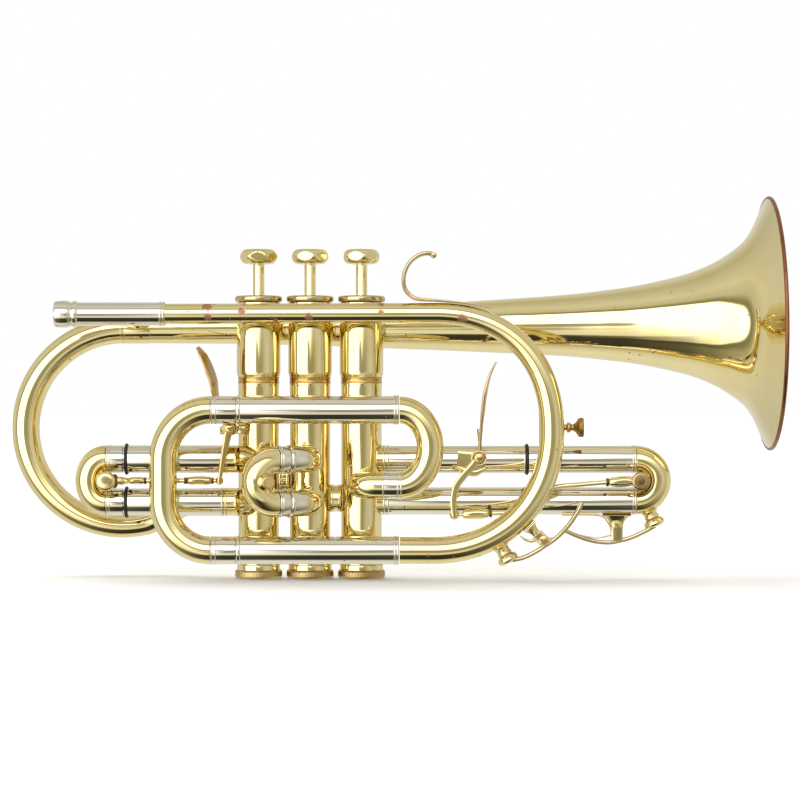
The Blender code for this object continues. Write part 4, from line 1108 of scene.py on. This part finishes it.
# ---------------------------------------------------------------- third slide

def third_slide():
    sleeve_start, sleeve_end = [corner.x for corner in limits("third_sleeve_upper")]
    leg_end = limits("third_leg_upper")[1].x
    for place in ("upper", "lower"):
        node = f"third_sleeve_{place}"
        sleeve(node, ((sleeve_start + 0.6, 1.1), (sleeve_start + 2.4, 1.1), (sleeve_end - 0.4, 0.8)))
        leg(f"third_leg_{place}", (leg_end, sleeve_end + 1.5), (leg_end - 0.4, leg_end - 1.5))
        _, y, z = middle(node)
        stub = tube(((VALVE_XS[2] + 6.0, y, z), (sleeve_start + 0.5, y, z)), 6.3, 48)
        make_piece(f"third_stub_{place}", [(stub, "brass")], "body")
    _, y, z = middle("third_sleeve_upper")
    o_ring("third_o_ring", sleeve_end + 0.75, y, z, "third_slide")
    z_pair = (middle("third_leg_upper").z, middle("third_leg_lower").z)
    start_x = leg_end + 0.3
    bridge_x = start_x + 1.9
    x, pin_z = THIRD_PIN
    pin = ((0, 0), (1.5, 0), (1.5, 11.6), (4.2, 11.6), (4.3, 12.9), (3.4, 13.5), (0, 13.4))
    # The dimple is a thin dark disc on the pin's head: painted shade in its hollow.
    dimple = ((0, 0), (1.7, 0), (1.5, 0.4), (0, 0.4))
    stand_for("third_bow", [
        (u_bow(start_x, 1, z_pair, y, limits("third_bow")[1].x - TUBE_RADIUS - start_x), "brass"),
        (turned(pin, (x, y, pin_z), -Y_AXIS, 48, 0.3), "worn"),
        (turned(dimple, (x, y - 13.3, pin_z), -Y_AXIS, 32, 0.15), "dark"),
        (block((bridge_x, y, z_pair[1] + 5.6), (bridge_x, y, z_pair[0] - 5.6), 2.2, 3.4, 24, 5), "brass"),
        (nipple((start_x, y, sum(z_pair) / 2), KEY_2_OUTWARD, 15.4, 19.4), "brass"),
    ])


def nipple(centre, outward, start, end):
    """The short beaded spout that a water key closes."""
    profile = (
        (1.6, start), (3.9, start), (3.8, start + 0.7), (3.3, start + 1.3), (3.1, end - 1.5),
        (3.5, end - 1.1), (3.5, end - 0.5), (3.2, end), (1.6, end),
    )
    return turned(profile, centre, outward, 36, 0.2)


def third_trigger():
    x, z = THIRD_PIVOT
    spring = coil((x, -10.9, z), 3.2, 3.4, 3.5, 0.42, ((x + 0.3, -9.2, z + 5.0), (x - 0.6, -8.9, z + 13.6)))
    saddle = ((68.2, 52.2), (72.0, 50.0), (77.0, 49.2), (81.6, 51.4))
    stand_for("third_trigger_bracket", [
        (block((68.6, -7.4, 55.6), (80.6, -7.4, 54.4), 1.3, 7.6, 24, 7), "brass"),
        (bar(saddle, -6.9, 2.2, (1.6, 3.4, 3.6, 1.4)), "brass"),
        (turned(ring_profile(0, 1.2, 0, 7.0), (x, -7.4, z), -Y_AXIS, 32, 0.2), "aged"),
        (spring, "aged"),
    ] + slotted_screw((x, -13.9, z), 2.2))
    lower = (
        (x - 1.0, z - 1.0), (75.2, 52.0), (71.2, 47.6), (68.0, 43.0), (66.8, 38.0), (66.7, 33.0),
        (67.0, 29.4),
    )
    upper = (
        (x + 0.1, z + 1.2), (79.0, 63.0), (79.7, 71.3), (80.4, 78.3), (81.4, 86.0), (83.4, 94.0),
        (86.5, 100.6),
    )
    widths = (3.0, 3.2, 5.0, 7.5, 8.4, 6.4, 3.0)
    thicknesses = (2.2, 1.5, 1.4, 1.7, 1.7, 1.2, 0.6)
    stand_for("third_trigger", [
        (turned(ring_profile(1.5, 2.7, -13.4, -8.4), (x, 0, z), Y_AXIS, 40, 0.3), "worn"),
        (bar(lower, -12.8, 1.2, (3.2, 3.3, 3.3, 3.2, 3.0, 2.8, 2.2)), "brass"),
        (bar(upper, -10.2, widths, thicknesses, -7.0), "worn"),
    ])


def third_link():
    x, z = THIRD_PIN
    y = THIRD_LINK_Y
    route = (
        (138.0, y, 44.8), (126.0, y, 43.8), (114.0, y, 42.6), (107.0, y, 39.6), (100.0, y, 33.6),
        (94.0, y, 31.0), (82.0, y, 30.4),
    )
    stand_for("third_link", [
        (turned(ring_profile(1.8, 3.4, -1.7, 1.7), (x, y, z), Y_AXIS, 40, 0.3), "brass"),
        (hexagon_barrel((x - 1.9, y, z), (138.6, y, 44.8), 2.5), "brass"),
        (nut((138.0, y, 44.8), 2.2, 1.1), "dark"),
        (tube(smooth(route, 8), 1.1, 20), "brass"),
        (nut((84.0, y, 30.45), 2.2, 1.1), "dark"),
        (hexagon_barrel((83.4, y, 30.4), (70.8, y, 29.9), 2.5), "brass"),
        (tube(((71.4, y, 29.9), (67.6, y, 29.7)), 0.9, 16), "brass"),
        (ball((67.2, y, 29.7), 2.35), "brass"),
        (ball((67.2, y - 2.2, 29.7), 0.8), "dark"),
    ])


# ---------------------------------------------------------------- water keys

def key_saddle(pivot, y, outward, depth, half_width, waist):
    """A flared foot, narrowing to two ears that hold the water key's pin."""
    along = outward.cross(Y_AXIS)
    hub = Vector((pivot[0], y, pivot[1]))
    sole = hub - outward * (depth + 0.1)
    outlines, path = [], []
    for step in range(13):
        t = step / 12
        path.append(hub - outward * (depth - (depth - 3.2) * t))
        flare = (1 - t) ** 3
        outlines.append(bar_outline(4.4 + 3.0 * flare, 2 * (waist + (half_width - waist) * flare), 28, 3.0))
    parts = [(section_sweep(path, outlines), "brass")]
    for side in (-3.05, 3.05):
        ear = hub + Y_AXIS * side
        parts.append((block(ear - outward * 4.0, ear + outward * 2.1, 1.1, 5.4, 20, 3.0), "hook"))
    parts.append((tube((hub - Y_AXIS * 3.9, hub + Y_AXIS * 3.9), 1.0, 20), "steel"))
    parts.append((block(sole - along * half_width, sole + along * half_width, 6.4, 0.9, 20, 3.0), "brass"))
    return parts


def water_key(name, pivot, y, guides, cup_base, outward, spring_guides):
    """The lever, its ring on the pin, the cup over the nipple with its cork, and the wire spring."""
    count = len(guides)
    widths = [5.0 - 1.6 * math.sin(math.pi * index / (count - 1)) for index in range(count)]
    cup = ((0, 0), (4.0, 0), (4.2, 0.4), (4.6, 0.9), (5.0, 2.0), (4.4, 3.0), (3.0, 3.6), (0, 3.7))
    cork = ((0, -0.35), (3.0, -0.35), (3.2, 0.3), (0, 0.3))
    stand_for(name, [
        (turned(ring_profile(1.3, 2.2, -2.1, 2.1), (pivot[0], y, pivot[1]), Y_AXIS, 36, 0.2), "brass"),
        (bar(guides, y, widths, 2.05), "hook"),
        (turned(cup, cup_base, outward, 40, 0.3), "brass"),
        (lathe(cork, cup_base, outward, 36), "cork"),
        (tube(smooth([(x, y, z) for x, z in spring_guides], 6), 0.35, 10), "steel"),
    ])


def water_key_1():
    pivot_x, pivot_z = KEY_1_PIVOT
    y = middle("water_key_1").y
    bow_centre = Vector((FRONT_BOW_CENTRE[0], y, FRONT_BOW_CENTRE[1]))
    from_centre = (Vector((pivot_x, y, pivot_z)) - bow_centre).normalized()
    leaf = ((97.2, 20.4), (99.4, 18.8), (102.4, 18.2), (105.2, 19.6), (106.4, 22.4))
    pin_block = turned(ring_profile(0, 2.4, -3.8, 3.8), (pivot_x, y, pivot_z), Y_AXIS, 8, 0.5)
    stand_for("water_key_1_saddle", key_saddle(KEY_1_PIVOT, y, from_centre, 8.6, 3.4, 1.9) + [
        (bar(leaf, y, 4.6, (0.8, 1.2, 1.5, 1.7, 1.8)), "brass"),
        (pin_block, "aged"),
    ])
    stand_for("water_key_1_nipple", [(nipple(bow_centre, KEY_1_OUTWARD, 60.6, 65.4), "brass")])
    guides = (
        (92.6, 9.4), (98.0, 10.4), (103.0, 12.6), (107.9, 15.6), (112.6, 18.8), (116.6, 22.4), (120.2, 26.6),
        (123.3, 31.4), (125.4, 35.8),
    )
    spring = ((109.0, 19.4), (114.0, 20.4), (118.4, 25.6))
    cup_base = bow_centre + KEY_1_OUTWARD * 65.8
    water_key("water_key_1", KEY_1_PIVOT, y, guides, cup_base, KEY_1_OUTWARD, spring)


def water_key_2():
    y = middle("water_key_2").y
    wire_y = y - 3.4
    wire = ((141.0, y - 3.0, 21.0), (138.6, wire_y, 26.0), (134.0, wire_y, 29.2), (117.2, wire_y, 29.4))
    saddle = key_saddle(KEY_2_PIVOT, y, -Z_AXIS, 9.4, 6.6, 3.1)
    stand_for("water_key_2_saddle", saddle + [(tube(smooth(wire, 8), 0.35, 12), "aged")])
    start_x = limits("third_leg_upper")[1].x + 0.3
    bow_centre = Vector((start_x, y, (middle("third_leg_upper").z + middle("third_leg_lower").z) / 2))
    guides = (
        (160.8, 24.2), (156.5, 21.8), (149.5, 18.6), (143.0, 16.9), (137.8, 16.4), (130.8, 17.4),
        (123.8, 19.8), (119.4, 21.8),
    )
    spring = ((142.0, 20.2), (134.0, 18.6), (126.0, 19.8))
    cup_base = bow_centre + KEY_2_OUTWARD * 19.8
    water_key("water_key_2", KEY_2_PIVOT, y, guides, cup_base, KEY_2_OUTWARD, spring)


# ---------------------------------------------------------------- finger hook and lyre holder

def finger_hook():
    y = middle("finger_hook").y
    guides = (
        (57.6, 149.4), (54.5, 150.2), (50.4, 149.2), (46.6, 146.2), (44.3, 142.0), (43.6, 138.0),
        (44.2, 134.2), (46.4, 131.2), (49.8, 129.3), (57.0, 128.7), (64.9, 128.1), (74.1, 127.0),
        (83.6, 124.9),
    )
    widths = (5.6, 6.2, 6.6, 6.8, 6.8, 6.8, 6.6, 6.6, 6.8, 6.4, 5.6, 4.6, 2.0)
    thicknesses = (2.2, 2.0, 2.0, 1.95, 1.95, 1.95, 1.95, 1.95, 1.8, 1.4, 1.1, 0.8, 0.4)
    tip = turned(ring_profile(0, 1.35, -2.9, 2.9), (57.4, y, 149.3), Y_AXIS, 24, 0.5)
    stand_for("finger_hook", [(bar(guides, y, widths, thicknesses), "hook"), (tip, "hook")])


def lyre_holder():
    low, high = limits("lyre_socket")
    _, y, z = middle("lyre_screw")
    centre = (LYRE_HOLDER_X, y, z)
    stand_for("lyre_socket", [
        (turned(ring_profile(3.1, 4.3, low.z, high.z), (LYRE_HOLDER_X, y, 0), Z_AXIS, 48, 0.3), "brass"),
        (turned(ring_profile(1.7, 3.0, 3.7, 7.0), centre, X_AXIS, 36, 0.2), "brass"),
    ])
    shank = (
        (0, 3.6), (1.4, 3.6), (1.4, 8.4), (2.3, 8.7), (2.5, 9.4), (2.2, 10.2), (1.5, 10.8), (1.5, 11.6),
        (0, 11.6),
    )
    head = (
        (0, 11.4), (1.6, 11.4), (1.7, 12.0), (2.5, 12.9), (3.9, 13.8), (4.5, 14.5), (4.5, 16.4),
        (0, 16.6),
    )
    stand_for("lyre_screw", [
        (turned(head, centre, X_AXIS, 96, shape=knurl_between(14.6, 16.3)), "screw"),
        (turned(shank, centre, X_AXIS, 40), "aged"),
    ])


# ---------------------------------------------------------------- studio

def studio_world():
    """A white studio. Its reflections have a bright softbox above and to the left, and dark gaps below.

    Each ramp's levels run outwards from the camera's side, in degrees away from it.
    """
    world = bpy.data.worlds.new("studio")
    bpy.context.scene.world = world
    world.use_nodes = True
    tree = world.node_tree
    tree.nodes.clear()
    direction = add_node(tree, "ShaderNodeTexCoord").outputs["Generated"]
    x, y, z = add_node(tree, "ShaderNodeSeparateXYZ", {0: direction}).outputs
    around = maths(tree, "ADD", maths(tree, "MULTIPLY", x, x), maths(tree, "MULTIPLY_ADD", z, z, 0.000001))
    left, right = share(tree, x, -1.0, around), share(tree, x, 1.0, around)
    above, below = share(tree, z, 1.0, around), share(tree, z, -1.0, around)
    away = maths(tree, "MULTIPLY", maths(tree, "ARCCOSINE", maths(tree, "MULTIPLY", y, -1.0)), 180 / math.pi)
    stretch = maths(tree, "MULTIPLY_ADD", left, 0.5, 1.0)
    upper = maths(tree, "DIVIDE", maths(tree, "MULTIPLY_ADD", left, -7.0, away), stretch)
    softbox = level_ramp(tree, upper, (
        (-30, 0.45), (0, 0.42), (3, 0.6), (5, 2.3), (42, 2.3), (44, 0.3), (47, 0.3), (53, 0.62), (70, 0.76),
        (96, 0.62), (110, 0.55), (135, 0.70), (180, 0.75),
    ))
    lower = level_ramp(tree, away, (
        (0, 0.42), (5, 0.36), (16, 0.36), (21, 0.85), (35, 0.85), (39, 0.05), (80, 0.03), (84, 0.6),
        (95, 0.8), (112, 0.9), (180, 0.75),
    ))
    beside = level_ramp(tree, away, (
        (0, 0.44), (8, 0.36), (21, 0.42), (35, 0.64), (52, 0.74), (70, 0.55), (100, 0.80), (180, 0.70),
    ))
    level = maths(tree, "MULTIPLY", softbox, maths(tree, "ADD", left, above))
    level = maths(tree, "MULTIPLY_ADD", lower, below, level)
    level = maths(tree, "MULTIPLY_ADD", beside, right, level)
    lit = maths(tree, "MULTIPLY_ADD", level, SOFTBOX_LEVEL / 0.4, -0.75, clamp=True)
    glare = maths(tree, "MULTIPLY_ADD", level, 2.0, -1.0, clamp=True)
    tint = mix_colour(tree, lit, (1.0, 0.97, 0.70), (1.0, 0.985, 0.95))
    tint = mix_colour(tree, glare, tint, (1.0, 0.99, 1.08))
    warm = mix_colour(tree, 1.0, level, tint, "MULTIPLY")
    seen = add_node(tree, "ShaderNodeLightPath").outputs["Is Camera Ray"]
    backdrop = add_node(tree, "ShaderNodeBackground", {"Color": (1, 1, 1, 1), "Strength": 1.0})
    reflected = add_node(tree, "ShaderNodeBackground", {"Color": warm, "Strength": SOFTBOX_LEVEL})
    chosen = add_node(tree, "ShaderNodeMixShader", {0: seen, 1: reflected.outputs[0], 2: backdrop.outputs[0]})
    output = add_node(tree, "ShaderNodeOutputWorld", {"Surface": chosen.outputs[0]})
    output.is_active_output = True


def share(tree, component, sign, around):
    """How far a direction leans one way, from 0 to 1; the shares of all four ways add up to 1."""
    one_way = maths(tree, "MAXIMUM", maths(tree, "MULTIPLY", component, sign), 0.0)
    return maths(tree, "DIVIDE", maths(tree, "MULTIPLY", one_way, one_way), around)


def level_ramp(tree, angle, stops):
    """A brightness by angle; stops lists (degrees, brightness), up to 180 degrees and the softbox's level."""
    first = stops[0][0]
    span = 180 - first
    place = maths(tree, "DIVIDE", maths(tree, "SUBTRACT", angle, first), span)
    return ramp(tree, place, [((degrees - first) / span, level / SOFTBOX_LEVEL) for degrees, level in stops])


def floor():
    bm = bmesh.new()
    bmesh.ops.create_grid(bm, x_segments=1, y_segments=1, size=FLOOR_HALF_WIDTH * MM)
    mesh = bpy.data.meshes.new("floor")
    bm.to_mesh(mesh)
    bm.free()
    material = bpy.data.materials.new("floor_paper")
    material.use_nodes = True
    tree = material.node_tree
    shader = tree.nodes["Principled BSDF"]
    shader.inputs["Base Color"].default_value = (0.93, 0.925, 0.91, 1.0)
    shader.inputs["Roughness"].default_value = 0.9
    shader.inputs["Specular IOR Level"].default_value = 0.0
    mesh.materials.append(material)
    plane = put_in_scene("floor", mesh)
    plane.location.z = CAD_BOX[0][2] - FLOOR_GAP * MM
    plane.visible_glossy = False


def soft_sun():
    """Broad light from above, behind and to the left, so that a soft shadow falls towards the camera."""
    light = bpy.data.lights.new("soft_sun", "SUN")
    light.energy = SUN_STRENGTH
    light.angle = math.radians(50)
    lamp = put_in_scene("soft_sun", light)
    lamp.rotation_euler = Vector((0.35, -0.45, -1.0)).to_track_quat("-Z", "Y").to_euler()
    lamp.visible_glossy = False


def camera():
    data = bpy.data.cameras.new("camera")
    data.sensor_width = 36.0
    data.lens = CAMERA_LENS
    eye = put_in_scene("camera", data)
    eye.location = Vector((CAMERA_X, middle("bell").y - CAMERA_DISTANCE, CAMERA_Z)) * MM
    eye.rotation_euler = (math.radians(90), 0, 0)
    bpy.context.scene.camera = eye


def studio():
    studio_world()
    floor()
    soft_sun()
    camera()
    bpy.context.scene.view_settings.view_transform = "Standard"


# ---------------------------------------------------------------- putting it together

def build():
    valves()
    crossovers()
    receiver()
    leadpipe()
    tuning_slide()
    return_bow()
    bell()
    bell_bow()
    receiver_brace()
    first_slide()
    first_link()
    first_trigger()
    second_slide()
    third_slide()
    third_trigger()
    third_link()
    water_key_1()
    water_key_2()
    finger_hook()
    lyre_holder()
    studio()


MATERIALS = make_materials()
build()
